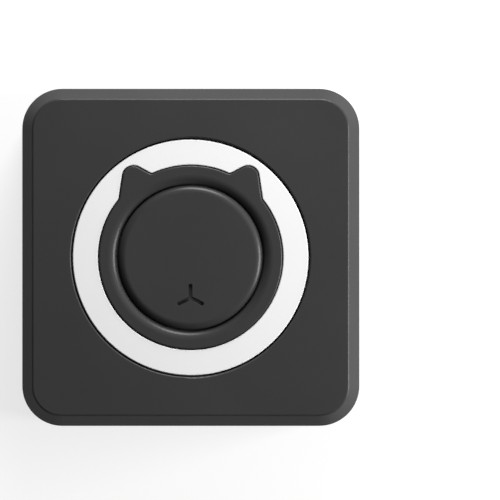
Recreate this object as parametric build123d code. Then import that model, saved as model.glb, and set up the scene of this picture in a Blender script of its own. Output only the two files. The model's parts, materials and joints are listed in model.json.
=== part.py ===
"""Mini sticker printer: a square pocket thermal printer with a hinged front cover.

Frame: X runs right and Y runs up over the front face, Z rises from the desk to the face.
The origin is under the middle of the body, on the plane that the rubber feet stand on.
All lengths are in millimetres.
"""
from build123d import *
import math
import os

os.makedirs("parts", exist_ok=True)

# Outer body
body_width = 84.0
body_height = 84.0
body_depth = 41.0
corner_radius = 10.0
bevel_inset = 2.7
bevel_height = 7.0
face_corner_radius = 7.3
face_edge_radius = 0.6
bottom_edge_radius = 2.4
rim_edge_radius = 0.35

# Shells
wall = 2.0
floor_thickness = 2.0
roof_thickness = 3.2
split_height = 25.0
part_gap = 0.3
running_gap = 0.05
seat_gap = 0.2

# Feet
foot_height = 0.8
foot_radius = 4.0
foot_recess = 0.4
foot_inset = 13.0

# Front ring and face disc
ring_radius = 29.25
ring_outer_gap = 0.45
ring_inner_gap = 0.25
ring_thickness = 1.7
ring_sink = 0.2
ring_edge_radius = 0.25
head_radius = 22.76
head_edge_radius = 0.35
ear_tip_radius = 2.6
ear_tip_reach = 29.04
ear_tip_angle = 124.0
ear_outer_angle = 141.0
ear_inner_angle = 115.3
ear_valley_radius = 1.2
peg_radius = 1.0
peg_circle = 26.0
peg_count = 4
dish_radius = 20.5
disc_radius = 18.0
disc_gap = 0.15
disc_thickness = 2.4
disc_edge_radius = 1.9
dish_depth = 2.0
mark_width = 1.0
mark_depth = 0.5
mark_drop = 10.0
mark_stem = 3.0
mark_arm = 3.2
mark_arm_angle = 27.0

# Hinge at the lower edge of the cover
hinge_radius = 5.5
hinge_pin_radius = 1.5
ear_inset = 17.0
ear_width = 5.0
knuckle_width = 5.2
ear_root_depth = 7.0

# Paper roll bay
paper_side_room = 13.5
bay_side_clearance = 1.3
bay_cell_gap = 2.8
bay_frame_gap = 4.0
tray_wall = 1.5
tray_end_wall = 1.2
deck_drop = 0.5
deck_frame_gap = 1.0

# Bosses, posts and screws
boss_radius = 3.4
boss_height = 2.7
post_radius = 2.4
screw_radius = 1.0
screw_head_radius = 2.2
screw_head_height = 1.3
counterbore_radius = 2.5
web_thickness = 2.0
small_screw_radius = 0.8
small_head_radius = 1.6
small_head_height = 1.1
cross_width = 0.4
cross_depth = 0.5
case_screw_depth = 9.0
rear_post_inset = 7.0
front_post_inset = 6.0
front_post_gap = 3.0

# Circuit boards
board_thickness = 1.2
board_standoff = 1.0
board_side_gap = 0.4
board_rear_reach = 1.5
board_front_gap = 0.8
board_gap = 1.0
io_board_edge_gap = 1.1
io_board_post_gap = 0.6
io_board_lead_room = 5.1

# Print mechanism
platen_radius = 3.6
platen_inset = 7.0
platen_rise = 3.0
platen_end_gap = 1.5
platen_shaft_radius = 1.5
bush_radius = 3.0
plate_side_clearance = 0.9
plate_thickness = 1.6
frame_clearance = 3.5
frame_floor = 1.5
frame_tower_half = 6.0
frame_tower_rise = 3.0
guide_thickness = 0.8
guide_front = 4.5
frame_tab_width = 4.6
frame_post_offset = 2.4
frame_post_gap = 3.0
nip_gap = 0.05
substrate_thickness = 0.8
heatsink_thickness = 1.95
head_pivot_back = 12.5
head_pivot_radius = 1.25
head_lug_radius = 2.2
head_lug_inset = 5.4
head_lug_width = 5.0
spring_radius = 2.0
spring_wire = 0.5
spring_turns = 5
spring_pitch_x = 18.0
spring_count = 3
flex_half_width = 9.0
flex_thickness = 0.2
sensor_x = -18.0
sensor_half = 1.8

# Gear train
gear_module = 0.4
pressure_angle = 20.0
gear_addendum = 0.85
gear_dedendum = 1.2
gear_play = 0.1
centre_play = 0.06
platen_teeth = 24
idler_small_teeth = 14
idler_big_teeth = 32
motor_teeth = 14
idler_direction = 250.0
motor_direction = 220.0
gear_gap = 1.0
gear_width = 3.0
big_gear_width = 1.8
gear_step = 0.3
idler_stud_radius = 1.0

# Motor
motor_radius = 4.6
motor_length = 16.0
motor_flange = 0.8
motor_shaft_radius = 0.75
motor_lobe_reach = 7.0
motor_lobe_radius = 2.0

# Battery
battery_width = 44.0
battery_thickness = 10.4
battery_height = 19.6
battery_wall_gap = 0.8
battery_edge_radius = 2.0
lead_radius = 0.55

# Parts on the main board. Each place is across the board and back from the platen, then width, length and rise
chip_places = [
    (-10.0, -2.0, 7.0, 7.0, 0.9),
    (2.0, -1.0, 5.0, 5.0, 0.9),
    (11.0, 0.0, 4.0, 5.0, 0.9),
    (20.0, -3.0, 5.0, 4.0, 0.9),
]
shield_place = (-20.8, -8.0, 11.0, 12.0, 1.8)
capacitor_place = (-4.0, -7.5, 3.2, 1.8, 1.5)
capacitor_pitch = 4.2
capacitor_count = 3
plug_rise = 2.6
flex_plug_rise = 1.6
flex_plug_length = 3.2
flex_plug_back = 1.6
flex_plug_rim = 1.0
motor_plug_width = 3.0
motor_plug_length = 7.6
motor_plug_reach = 2.4
flex_plug_gap = 0.5

# Buttons, port and light
power_front_gap = 5.0
power_length = 9.0
power_height = 4.2
power_rise = 2.3
button_gap = 0.2
button_flange = 0.4
button_lip = 0.7
release_y = 26.0
release_length = 12.0
release_height = 6.0
release_z = 15.5
port_rear_shift = 1.75
port_width = 8.94
port_height = 3.2
port_length = 7.3
port_wall = 0.3
port_sink = 0.7
light_rear_gap = 5.5
light_radius = 1.2

# Latch hook
hook_thickness = 1.4
hook_width = 8.0
hook_wall_gap = 2.4
hook_nose = 1.7
hook_nose_height = 2.1
ledge_width = 1.9
ledge_thickness = 1.5
ledge_drop = 1.5
hook_foot_reach = 6.0

# Paper slot and tear bar
slot_side_clearance = 0.5
slot_lower_cut = 0.6
slot_upper_cut = 0.6
tear_end_gap = 0.9
tear_thickness = 0.4
tear_bevel_gap = 3.1
tear_tooth_pitch = 1.6
tear_tooth_depth = 0.7

# Levels worked out from the sizes above
half_w = body_width / 2
half_h = body_height / 2
case_z = foot_height
floor_z = case_z + floor_thickness
cover_z = split_height + part_gap
roof_z = body_depth - roof_thickness
bevel_z = body_depth - bevel_height
inner_x = half_w - wall
inner_y = half_h - wall
hinge_y = -half_h + hinge_radius
hinge_z = cover_z + hinge_radius
board_z = floor_z + board_standoff
board_top = board_z + board_thickness
frame_z = board_top + frame_clearance
frame_top = frame_z + frame_floor
paper_width = body_width - 2 * paper_side_room
platen_y = inner_y - platen_inset
platen_z = split_height + platen_rise
head_top = platen_z - platen_radius - nip_gap
sink_top = head_top - substrate_thickness
sink_bottom = sink_top - heatsink_thickness
pivot_y = platen_y - head_pivot_back
pivot_z = sink_bottom + head_pivot_radius / 4
plate_in = paper_width / 2 + plate_side_clearance
plate_out = plate_in + plate_thickness
gear_start_x = plate_out + gear_gap
frame_rear_y = pivot_y - 6.5
frame_front_y = platen_y + 6.3
guide_top = split_height + 0.4
bay_rear_y = -inner_y + battery_wall_gap + battery_thickness + bay_cell_gap
bay_front_y = frame_rear_y - bay_frame_gap
bay_outer_radius = (bay_front_y - bay_rear_y) / 2
bay_radius = bay_outer_radius - tray_wall
bay_center_y = (bay_front_y + bay_rear_y) / 2
deck_front_y = frame_rear_y - deck_frame_gap
deck_top = split_height - deck_drop
deck_bottom = deck_top - tray_wall
bay_center_z = floor_z + seat_gap + tray_wall + bay_radius
bay_half = paper_width / 2 + bay_side_clearance
tray_half = bay_half + tray_end_wall
boss_top = floor_z + boss_height
rear_post_x = half_w - rear_post_inset + 0.5
rear_post_y = -half_h + rear_post_inset + 0.5
front_post_x = half_w - front_post_inset
front_post_y = frame_rear_y - front_post_gap
frame_rear_post_y = frame_rear_y + frame_post_gap
frame_front_post_y = platen_y + frame_post_gap
ear_start = half_w - ear_inset
platen_half_length = paper_width / 2 - platen_end_gap
slot_half_length = paper_width / 2 + slot_side_clearance
tear_half_length = paper_width / 2 - tear_end_gap
tear_height = bevel_z - cover_z - slot_upper_cut - tear_bevel_gap
head_lug_x = plate_in - head_lug_inset
board_half_width = plate_out - board_side_gap
board_rear_y = frame_rear_y - board_rear_reach
io_board_left = board_half_width + board_gap
io_board_front_y = front_post_y - boss_radius - io_board_post_gap
io_board_rear_y = rear_post_y + boss_radius + io_board_lead_room
power_y = io_board_front_y - power_front_gap
light_y = io_board_rear_y + light_rear_gap
port_y = (light_y + power_y) / 2 - port_rear_shift
motor_plug_x = plate_in - motor_length - motor_plug_reach
flex_x = motor_plug_x - motor_plug_width / 2 - flex_plug_gap - flex_plug_rim - flex_half_width
frame_post_x = plate_out + frame_post_offset
io_board_right = inner_x - io_board_edge_gap
power_z = board_top + power_rise
port_z = board_top + port_height / 2


def block(x0, x1, y0, y1, z0, z1):
    """Block between two corners."""
    middle = Pos((x0 + x1) / 2, (y0 + y1) / 2, (z0 + z1) / 2)
    return middle * Box(x1 - x0, y1 - y0, z1 - z0)


def post(x, y, z0, z1, radius):
    """Round bar standing along Z."""
    return Pos(x, y, (z0 + z1) / 2) * Cylinder(radius, z1 - z0)


def rod(y, z, x0, x1, radius):
    """Round bar lying along X."""
    return Pos((x0 + x1) / 2, y, z) * Rot(0, 90, 0) * Cylinder(radius, x1 - x0)


def side_profile(sketch, x0, x1):
    """Solid whose outline is drawn in Y and Z and runs from x0 to x1."""
    return extrude(Plane.YZ.offset(x0) * sketch, x1 - x0)


def outline(inset, radius):
    """Body outline drawn in by inset."""
    return RectangleRounded(body_width - 2 * inset, body_height - 2 * inset, radius)


def body_prism(inset, z0, z1):
    """Upright prism of the body outline drawn in by inset."""
    return extrude(Pos(0, 0, z0) * outline(inset, corner_radius - inset), z1 - z0)


def bevel_block(inset, z1):
    """Stretch of the body that leans in from the bevel's foot up to z1, drawn in by inset."""
    share = (z1 - bevel_z) / bevel_height
    top_inset = inset + bevel_inset * share
    top_radius = corner_radius - inset - (corner_radius - face_corner_radius) * share
    foot = Pos(0, 0, bevel_z) * outline(inset, corner_radius - inset)
    top = Pos(0, 0, z1) * outline(top_inset, top_radius)
    return loft([foot.face(), top.face()], ruled=True)


def polar(radius, degrees):
    """Point at a radius and an angle."""
    return (radius * math.cos(math.radians(degrees)), radius * math.sin(math.radians(degrees)))


def top_edges(shape, z):
    """Edges of a shape that lie wholly at the height z."""
    low = z - 0.001
    high = z + 0.001
    return shape.edges().filter_by(
        lambda e: e.bounding_box().min.Z > low and e.bounding_box().max.Z < high
    )


def mirrored(shape):
    """A shape and its mirror image across the middle plane X = 0."""
    return [shape, mirror(shape, Plane.YZ)]


def pan_screw(x, y, seat_z, up, length, radius, head_radius, head_height):
    """Screw with a cross slot, head on the side that up points to, shank the other way."""
    sign = 1 if up else -1
    head_end = seat_z + sign * head_height
    head = post(x, y, min(seat_z, head_end), max(seat_z, head_end), head_radius)
    shank_end = seat_z - sign * length
    shank = post(x, y, min(seat_z, shank_end), max(seat_z, shank_end), radius)
    slot_end = head_end - sign * cross_depth
    low = min(head_end, slot_end)
    high = max(head_end, slot_end)
    reach = head_radius * 0.6
    cross = block(x - reach, x + reach, y - cross_width / 2, y + cross_width / 2, low, high)
    cross += block(x - cross_width / 2, x + cross_width / 2, y - reach, y + reach, low, high)
    return head + shank - cross


def case_post_places():
    """Places of the four posts that hold the tray to the rear case."""
    return [
        (-rear_post_x, rear_post_y),
        (rear_post_x, rear_post_y),
        (-front_post_x, front_post_y),
        (front_post_x, front_post_y),
    ]


def frame_post_places():
    """Places of the four posts that carry the print mechanism."""
    return [
        (sign * frame_post_x, y)
        for sign in (-1, 1)
        for y in (frame_rear_post_y, frame_front_post_y)
    ]


def board_post_places():
    """Places of the screws that hold the two boards."""
    main = [
        (sign * (board_half_width - 3), y)
        for sign in (-1, 1)
        for y in (board_rear_y + 3, inner_y - board_front_gap - 3)
    ]
    side_x = io_board_left + 2.0
    return main + [(side_x, port_y - port_width / 2 - 2.2), (side_x, port_y + port_width / 2 + 3.4)]


# Rear case with its floor, bosses, hinge ears and latch ledge

def hinge_ear():
    """Ear that rises from the rim of the rear case round the hinge pin."""
    disc = rod(hinge_y, hinge_z, ear_start, ear_start + ear_width, hinge_radius)
    stem = block(
        ear_start, ear_start + ear_width,
        hinge_y, hinge_y + hinge_radius,
        split_height - ear_root_depth, hinge_z,
    )
    root = block(
        ear_start, ear_start + ear_width,
        -inner_y - wall / 2, hinge_y + hinge_radius,
        split_height - ear_root_depth, split_height,
    )
    bore = rod(hinge_y, hinge_z, ear_start - 1, ear_start + ear_width + 1, hinge_pin_radius)
    return disc + stem + root - bore


def side_slot(sign, y, z, length, height, radius, inset=0.0):
    """Cutter through a side wall with rounded ends."""
    sketch = Pos(y, z) * RectangleRounded(length, height, radius)
    x0 = sign * (inner_x - 1)
    x1 = sign * (half_w + 1 - inset)
    return side_profile(sketch, min(x0, x1), max(x0, x1))


def make_rear_case():
    """Lower shell of the body."""
    shell = body_prism(0, case_z, split_height)
    shell = fillet(top_edges(shell, case_z), bottom_edge_radius)
    shell = fillet(top_edges(shell, split_height), rim_edge_radius)
    shell -= body_prism(wall, floor_z, split_height + 1)
    for x, y in case_post_places():
        shell += post(x, y, floor_z, boss_top, boss_radius)
    for x, y in frame_post_places():
        shell += post(x, y, floor_z, frame_z, post_radius)
    for x, y in board_post_places():
        shell += post(x, y, floor_z, board_z, post_radius)
    for ear in mirrored(hinge_ear()):
        shell += ear
    ledge_z = split_height - ledge_drop
    shell += block(
        -inner_x - wall / 2, -inner_x + ledge_width,
        release_y - hook_width / 2 - 0.5, release_y + hook_width / 2 + 0.5,
        ledge_z - ledge_thickness, ledge_z,
    )
    for x, y in case_post_places():
        shell -= post(x, y, case_z - 1, boss_top - web_thickness, counterbore_radius)
        shell -= post(x, y, case_z, boss_top + 1, screw_radius + 0.1)
    for x, y in frame_post_places():
        shell -= post(x, y, floor_z, frame_z + 1, small_screw_radius)
    for x, y in board_post_places():
        shell -= post(x, y, case_z + 0.6, board_z + 1, small_screw_radius)
    for x, y in foot_places():
        shell -= post(x, y, case_z - 1, case_z + foot_recess, foot_radius)
    shell -= side_slot(1, power_y, power_z, power_length, power_height, power_height / 2 - 0.01)
    shell -= side_slot(1, port_y, port_z, port_width + 0.4, port_height + 0.4, 1.6)
    shell -= side_slot(-1, release_y, release_z, release_length, release_height, 1.5)
    shell -= rod(light_y, port_z, inner_x - 1, half_w + 1, light_radius + running_gap)
    shell -= block(
        -slot_half_length, slot_half_length, inner_y - 1, half_h + 1,
        split_height - slot_lower_cut, split_height + 1,
    )
    return shell


def foot_places():
    """Places of the four rubber feet."""
    x = half_w - foot_inset
    y = half_h - foot_inset
    return [(-x, -y), (x, -y), (-x, y), (x, y)]


def make_feet():
    """Four rubber feet with a rounded rim."""
    feet = []
    for x, y in foot_places():
        foot = post(x, y, 0, case_z + foot_recess, foot_radius)
        feet.append(fillet(top_edges(foot, 0), 0.3))
    return feet


def make_case_screws():
    """Screws that go up through the floor into the tray's posts."""
    seat = boss_top - web_thickness
    return [
        pan_screw(x, y, seat, False, web_thickness + case_screw_depth, screw_radius,
                  screw_head_radius, screw_head_height)
        for x, y in case_post_places()
    ]


def make_hinge_pins():
    """Two pins, each held in an ear and turning in the cover's knuckles."""
    reach = knuckle_width - 0.8
    pin = rod(
        hinge_y, hinge_z,
        ear_start - reach, ear_start + ear_width + reach,
        hinge_pin_radius,
    )
    return mirrored(pin)


# Tray that forms the roll bay and covers the boards and the cell

def make_paper_tray():
    """Deck with a half-round trough for the roll."""
    deck = body_prism(wall + part_gap, deck_bottom, deck_top)
    deck -= block(-half_w, half_w, deck_front_y, half_h, 0, body_depth)
    center = bay_center_z
    above = center + bay_outer_radius
    trough = rod(bay_center_y, center, -tray_half, tray_half, bay_outer_radius)
    trough += block(-tray_half, tray_half, bay_rear_y, bay_front_y, center, above)
    trough -= block(-half_w, half_w, -half_h, half_h, deck_top, above + 1)
    tray = deck + trough
    tray -= rod(bay_center_y, center, -bay_half, bay_half, bay_radius)
    tray -= block(
        -bay_half, bay_half,
        bay_center_y - bay_radius, bay_center_y + bay_radius, center, above + 1,
    )
    for x, y in case_post_places():
        tray += post(x, y, boss_top, deck_bottom + tray_wall / 2, post_radius)
    for x, y in case_post_places():
        tray -= post(x, y, boss_top - 1, boss_top + case_screw_depth, screw_radius)
    for sign in (-1, 1):
        near = sign * (ear_start - part_gap)
        far = sign * (ear_start + ear_width + part_gap)
        tray -= block(
            min(near, far), max(near, far),
            -half_h, hinge_y + hinge_radius + part_gap, deck_bottom - 1, deck_top + 1,
        )
    return tray


# Print mechanism

def make_mech_frame():
    """Chassis of the mechanism: two side plates, a floor and a paper guide."""
    side = Pos((frame_rear_y + frame_front_y) / 2, (frame_z + guide_top) / 2) * Rectangle(
        frame_front_y - frame_rear_y, guide_top - frame_z
    )
    tower_top = platen_z + frame_tower_rise
    side += Pos(platen_y, (frame_z + tower_top) / 2) * Rectangle(
        2 * frame_tower_half, tower_top - frame_z
    )
    slot_radius = bush_radius + 2 * running_gap
    side -= Pos(platen_y, platen_z) * Circle(slot_radius)
    side -= Pos(platen_y, platen_z + frame_tower_rise) * Rectangle(
        2 * slot_radius, 2 * frame_tower_rise
    )
    side -= Pos(pivot_y, pivot_z) * Circle(head_pivot_radius)
    left = side_profile(side, -plate_out, -plate_in)
    right_side = side - Pos(motor_y, motor_z) * Circle(motor_shaft_radius + 0.8)
    right_side -= Pos(idler_y, idler_z) * Circle(idler_stud_radius)
    for lobe in (-1, 1):
        right_side -= Pos(motor_y + lobe * motor_lobe_reach, motor_z) * Circle(small_screw_radius)
    right = side_profile(right_side, plate_in, plate_out)
    floor = block(
        -plate_out, plate_out, pivot_y - 1.0, frame_front_y - 0.8, frame_z, frame_top
    )
    guide = block(
        -plate_out, plate_out, frame_rear_y, platen_y - guide_front,
        guide_top - guide_thickness, guide_top,
    )
    frame = left + right + floor + guide
    for x, y in frame_post_places():
        inner = plate_out if x > 0 else -plate_out
        outer = inner + math.copysign(frame_tab_width, x)
        frame += block(
            min(inner, outer), max(inner, outer),
            y - post_radius, y + post_radius, frame_z, frame_top,
        )
        frame -= post(x, y, frame_z - 1, frame_top + 1, small_screw_radius)
    for x in spring_places():
        frame += post(x, platen_y, frame_top, frame_top + 2.0, spring_radius - spring_wire)
    window_y = frame_rear_y + sensor_half + 2.0
    window = sensor_half / 2 + seat_gap
    frame -= block(
        sensor_x - window, sensor_x + window, window_y - window, window_y + window,
        guide_top - 1, guide_top + 1,
    )
    frame -= block(
        motor_plug_x - 1.3, motor_plug_x + 1.3, motor_y - 3.4, motor_y + 3.4,
        frame_z - 1, frame_top + 1,
    )
    return frame


def make_mech_screws():
    """Screws that hold the mechanism to its posts."""
    return [
        pan_screw(x, y, frame_top, True, frame_floor + 4.0, small_screw_radius,
                  small_head_radius, small_head_height)
        for x, y in frame_post_places()
    ]


def spring_places():
    """X places of the springs under the print head."""
    middle = (spring_count - 1) / 2
    return [(n - middle) * spring_pitch_x for n in range(spring_count)]


def make_head_springs():
    """Coil springs that press the print head against the platen."""
    low = frame_top + spring_wire / 2
    height = sink_bottom - frame_top - spring_wire
    springs = []
    for x in spring_places():
        path = Pos(x, platen_y, low) * Helix(height / spring_turns, height, spring_radius)
        start = Plane(origin=path @ 0, z_dir=path % 0)
        springs.append(sweep(start * Circle(spring_wire / 2), path=path, is_frenet=True))
    print("least gap between the turns of a head spring:", round(least_turn_gap(path), 2))
    return springs


def least_turn_gap(path, steps_a_turn=36):
    """Least gap between the wire's turns, measured on points along the spring's path."""
    count = spring_turns * steps_a_turn
    points = [path @ (n / count) for n in range(count + 1)]
    half_turn = steps_a_turn // 2
    apart = [
        (points[b] - points[a]).length
        for a in range(count + 1)
        for b in range(a + half_turn, count + 1)
    ]
    return min(apart) - spring_wire


def make_heatsink():
    """Aluminium plate of the print head with the lugs that it pivots on."""
    half = plate_in - 1.4
    plate = block(-half, half, pivot_y + 1.2, platen_y + 5.5, sink_bottom, sink_top)
    plate -= rod(pivot_y, pivot_z, -half - 1, half + 1, head_pivot_radius + 0.3)
    for sign in (-1, 1):
        x0 = sign * head_lug_x - head_lug_width / 2
        x1 = sign * head_lug_x + head_lug_width / 2
        lug = rod(pivot_y, pivot_z, x0, x1, head_lug_radius)
        lug += block(x0, x1, pivot_y, pivot_y + 3.0, sink_bottom, sink_top)
        plate += lug
        plate -= rod(pivot_y, pivot_z, x0 - 1, x1 + 1, head_pivot_radius + running_gap)
    return plate


def make_substrate():
    """Ceramic plate that carries the row of heating dots."""
    half = plate_in - 1.9
    plate = block(-half, half, platen_y - 3.5, platen_y + 4.5, sink_top, head_top)
    return plate


def make_head_driver():
    """Dark resin bead over the head's driver chips."""
    half = head_lug_x - head_lug_width / 2 - 1.5
    bead = block(-half, half, platen_y - 9.0, platen_y - 4.2, sink_top, sink_top + 0.6)
    return fillet(top_edges(bead, sink_top + 0.6), 0.25)


def make_head_flex():
    """Flat cable from the print head down to the main board."""
    start_y = platen_y - 9.2
    high = sink_top + flex_thickness / 2
    down_y = pivot_y - 3.4
    low = board_top + 0.8
    path = FilletPolyline(
        (flex_x, start_y, high), (flex_x, down_y, high),
        (flex_x, down_y, low), (flex_x, down_y + 3.4, low),
        radius=1.5,
    )
    section = Plane(origin=path @ 0, z_dir=path % 0, x_dir=(1, 0, 0)) * Rectangle(
        2 * flex_half_width, flex_thickness
    )
    return sweep(section, path=path)


def make_pivot_shaft():
    """Steel rod on which the print head pivots."""
    return rod(pivot_y, pivot_z, -plate_out - 0.4, plate_out + 0.4, head_pivot_radius)


def make_paper_sensor():
    """Small optical sensor under the paper guide."""
    low = guide_top - guide_thickness - 1.6
    y = frame_rear_y + sensor_half + 2.0
    sensor = block(
        sensor_x - sensor_half, sensor_x + sensor_half, y - sensor_half, y + sensor_half,
        low, guide_top - guide_thickness,
    )
    lens = block(
        sensor_x - sensor_half / 2, sensor_x + sensor_half / 2,
        y - sensor_half / 2, y + sensor_half / 2, guide_top - guide_thickness, guide_top - 0.2,
    )
    return sensor + lens


# Gear train on the right side plate

def centre_distance(teeth_a, teeth_b):
    """Distance between the shafts of two meshing gears."""
    return gear_module * (teeth_a + teeth_b) / 2 + centre_play


def gear_outline(teeth, phase):
    """Involute outline with one tooth centred on the angle phase, in degrees."""
    pitch_r = gear_module * teeth / 2
    slope = math.radians(pressure_angle)
    base_r = pitch_r * math.cos(slope)
    tip_r = pitch_r + gear_addendum * gear_module
    root_r = pitch_r - gear_dedendum * gear_module
    half_tooth = math.pi / (2 * teeth) - gear_play / (4 * pitch_r)
    pitch_roll = math.tan(slope) - slope
    low_r = max(base_r, root_r)
    steps = 4
    flank = []
    for n in range(steps + 1):
        r = low_r + (tip_r - low_r) * n / steps
        turn = math.acos(min(1.0, base_r / r))
        flank.append((r, half_tooth + pitch_roll - (math.tan(turn) - turn)))
    if root_r < low_r:
        flank.insert(0, (root_r, flank[0][1]))
    points = []
    for tooth in range(teeth):
        centre = math.radians(phase) + 2 * math.pi * tooth / teeth
        rising = [(r, centre - half) for r, half in flank]
        falling = [(r, centre + half) for r, half in reversed(flank)]
        points += [(r * math.cos(a), r * math.sin(a)) for r, a in rising + falling]
    return Polygon(*points, align=None)


idler_offset = centre_distance(platen_teeth, idler_small_teeth)
idler_y = platen_y + polar(idler_offset, idler_direction)[0]
idler_z = platen_z + polar(idler_offset, idler_direction)[1]
motor_offset = centre_distance(idler_big_teeth, motor_teeth)
motor_y = idler_y + polar(motor_offset, motor_direction)[0]
motor_z = idler_z + polar(motor_offset, motor_direction)[1]
big_gear_x = gear_start_x + gear_width + gear_step
big_gear_end = big_gear_x + big_gear_width


def gear(teeth, phase, y, z, x0, x1):
    """Gear on a shaft along X."""
    return side_profile(Pos(y, z) * gear_outline(teeth, phase), x0, x1)


def make_platen_gear():
    """Gear on the platen's shaft, with a tooth space facing the idler."""
    phase = idler_direction + 180 / platen_teeth
    wheel = gear(platen_teeth, phase, platen_y, platen_z, gear_start_x, gear_start_x + gear_width)
    wheel += rod(platen_y, platen_z, plate_out + part_gap, gear_start_x, platen_shaft_radius + 0.9)
    return wheel - rod(platen_y, platen_z, 0, half_w, platen_shaft_radius)


def make_idler_gear():
    """Double gear: a small wheel under the platen gear and a big one for the motor."""
    small = gear(
        idler_small_teeth, idler_direction + 180, idler_y, idler_z, gear_start_x, big_gear_x
    )
    big = gear(idler_big_teeth, motor_direction, idler_y, idler_z, big_gear_x, big_gear_end)
    hub = rod(idler_y, idler_z, plate_out + part_gap, gear_start_x, idler_stud_radius + 0.8)
    bore = rod(idler_y, idler_z, 0, half_w, idler_stud_radius + running_gap)
    return small + big + hub - bore


def make_idler_stud():
    """Stud that carries the idler, with a clip at its end."""
    stud = rod(idler_y, idler_z, plate_in, big_gear_end + 0.5, idler_stud_radius)
    clip = rod(idler_y, idler_z, big_gear_end + 0.1, big_gear_end + 0.5, idler_stud_radius + 0.7)
    return stud + clip


def make_motor_pinion():
    """Pinion pressed on the motor's shaft."""
    phase = motor_direction + 180 + 180 / motor_teeth
    wheel = gear(motor_teeth, phase, motor_y, motor_z, big_gear_x - 0.2, big_gear_end)
    return wheel - rod(motor_y, motor_z, 0, half_w, motor_shaft_radius)


def make_motor_shaft():
    """Shaft of the stepper motor."""
    return rod(motor_y, motor_z, plate_in - motor_length / 2, big_gear_end, motor_shaft_radius)


def make_motor_body():
    """Round can of the stepper motor with its two-lobed flange."""
    can_end = plate_in - motor_flange
    can = rod(motor_y, motor_z, plate_in - motor_length, can_end, motor_radius)
    can = fillet(can.edges().filter_by(GeomType.CIRCLE), 0.4)
    flange = Pos(motor_y, motor_z) * SlotOverall(
        2 * (motor_lobe_reach + motor_lobe_radius), 2 * motor_lobe_radius
    )
    flange += Pos(motor_y, motor_z) * Circle(motor_radius)
    for lobe in (-1, 1):
        flange -= Pos(motor_y + lobe * motor_lobe_reach, motor_z) * Circle(small_screw_radius)
    body = can + side_profile(flange, can_end, plate_in)
    hole = rod(
        motor_y, motor_z, plate_in - motor_length / 2 - 0.3, plate_in + 1,
        motor_shaft_radius + running_gap,
    )
    return body - hole


def make_motor_screws():
    """Screws through the side plate into the motor's flange."""
    screws = []
    for lobe in (-1, 1):
        y = motor_y + lobe * motor_lobe_reach
        head = rod(y, motor_z, plate_out, plate_out + 0.9, small_head_radius)
        head -= block(
            plate_out + 0.5, plate_out + 1, y - 1, y + 1,
            motor_z - cross_width / 2, motor_z + cross_width / 2,
        )
        shank = rod(y, motor_z, plate_in - motor_flange, plate_out, small_screw_radius)
        screws.append(head + shank)
    return screws


def make_motor_leads():
    """Four thin leads from the back of the motor down to the main board."""
    leads = []
    start_x = plate_in - motor_length
    for n in range(4):
        y = motor_y - 2.4 + 1.6 * n
        drop_x = start_x - 2.2 - 0.5 * (n % 2)
        path = FilletPolyline(
            (start_x, y, motor_z), (drop_x, y, motor_z), (drop_x, y, board_top + 2.6),
            radius=1.1,
        )
        section = Plane(origin=path @ 0, z_dir=path % 0) * Circle(0.35)
        leads.append(sweep(section, path=path))
    return leads


# Platen roller

def make_platen_shaft():
    """Steel shaft of the platen."""
    end = gear_start_x + gear_width - 0.1
    return rod(platen_y, platen_z, -plate_out - 0.5, end, platen_shaft_radius)


def make_platen_rubber():
    """Rubber sleeve that drives the paper."""
    sleeve = rod(platen_y, platen_z, -platen_half_length, platen_half_length, platen_radius)
    return sleeve - rod(platen_y, platen_z, -half_w, half_w, platen_shaft_radius)


def make_platen_bushes():
    """Round bushes that drop into the slots of the side plates."""
    bush = rod(platen_y, platen_z, plate_in - 0.1, plate_out + 0.1, bush_radius)
    bush -= rod(platen_y, platen_z, 0, half_w, platen_shaft_radius + running_gap)
    return mirrored(bush)


# Front cover and what it carries

def ear_sketch(right):
    """Pointed ear with a rounded tip, drawn counter-clockwise."""
    angles = [ear_inner_angle, ear_tip_angle, ear_outer_angle]
    if right:
        angles = [180 - angle for angle in reversed(angles)]
    reaches = [head_radius, ear_tip_reach, head_radius]
    corners = [polar(reach, angle) for reach, angle in zip(reaches, angles)]
    corners.append(polar(head_radius * 0.6, (angles[0] + angles[2]) / 2))
    ear = Polygon(*corners, align=None)
    return fillet(ear.vertices().sort_by(Axis.Y)[-1], ear_tip_radius)


def head_sketch():
    """Round plate with two rounded ears at its upper side."""
    sketch = Circle(head_radius) + ear_sketch(False) + ear_sketch(True)
    valleys = [v for v in sketch.vertices() if abs(math.hypot(v.X, v.Y) - head_radius) < 0.01]
    return fillet(valleys, ear_valley_radius)


def make_dish(seat):
    """Cutter that rolls the plate over towards the disc: a quarter ellipse turned about the middle axis."""
    low = body_depth - dish_depth
    high = body_depth + 1
    roll = EllipticalCenterArc((dish_radius, low), dish_radius - seat, dish_depth, 90, arc_size=90)
    rest = Polyline((seat, low), (seat, high), (dish_radius, high), (dish_radius, body_depth))
    return revolve(Plane.XZ * make_face(roll.edges() + rest.edges()), Axis.Z)


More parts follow.
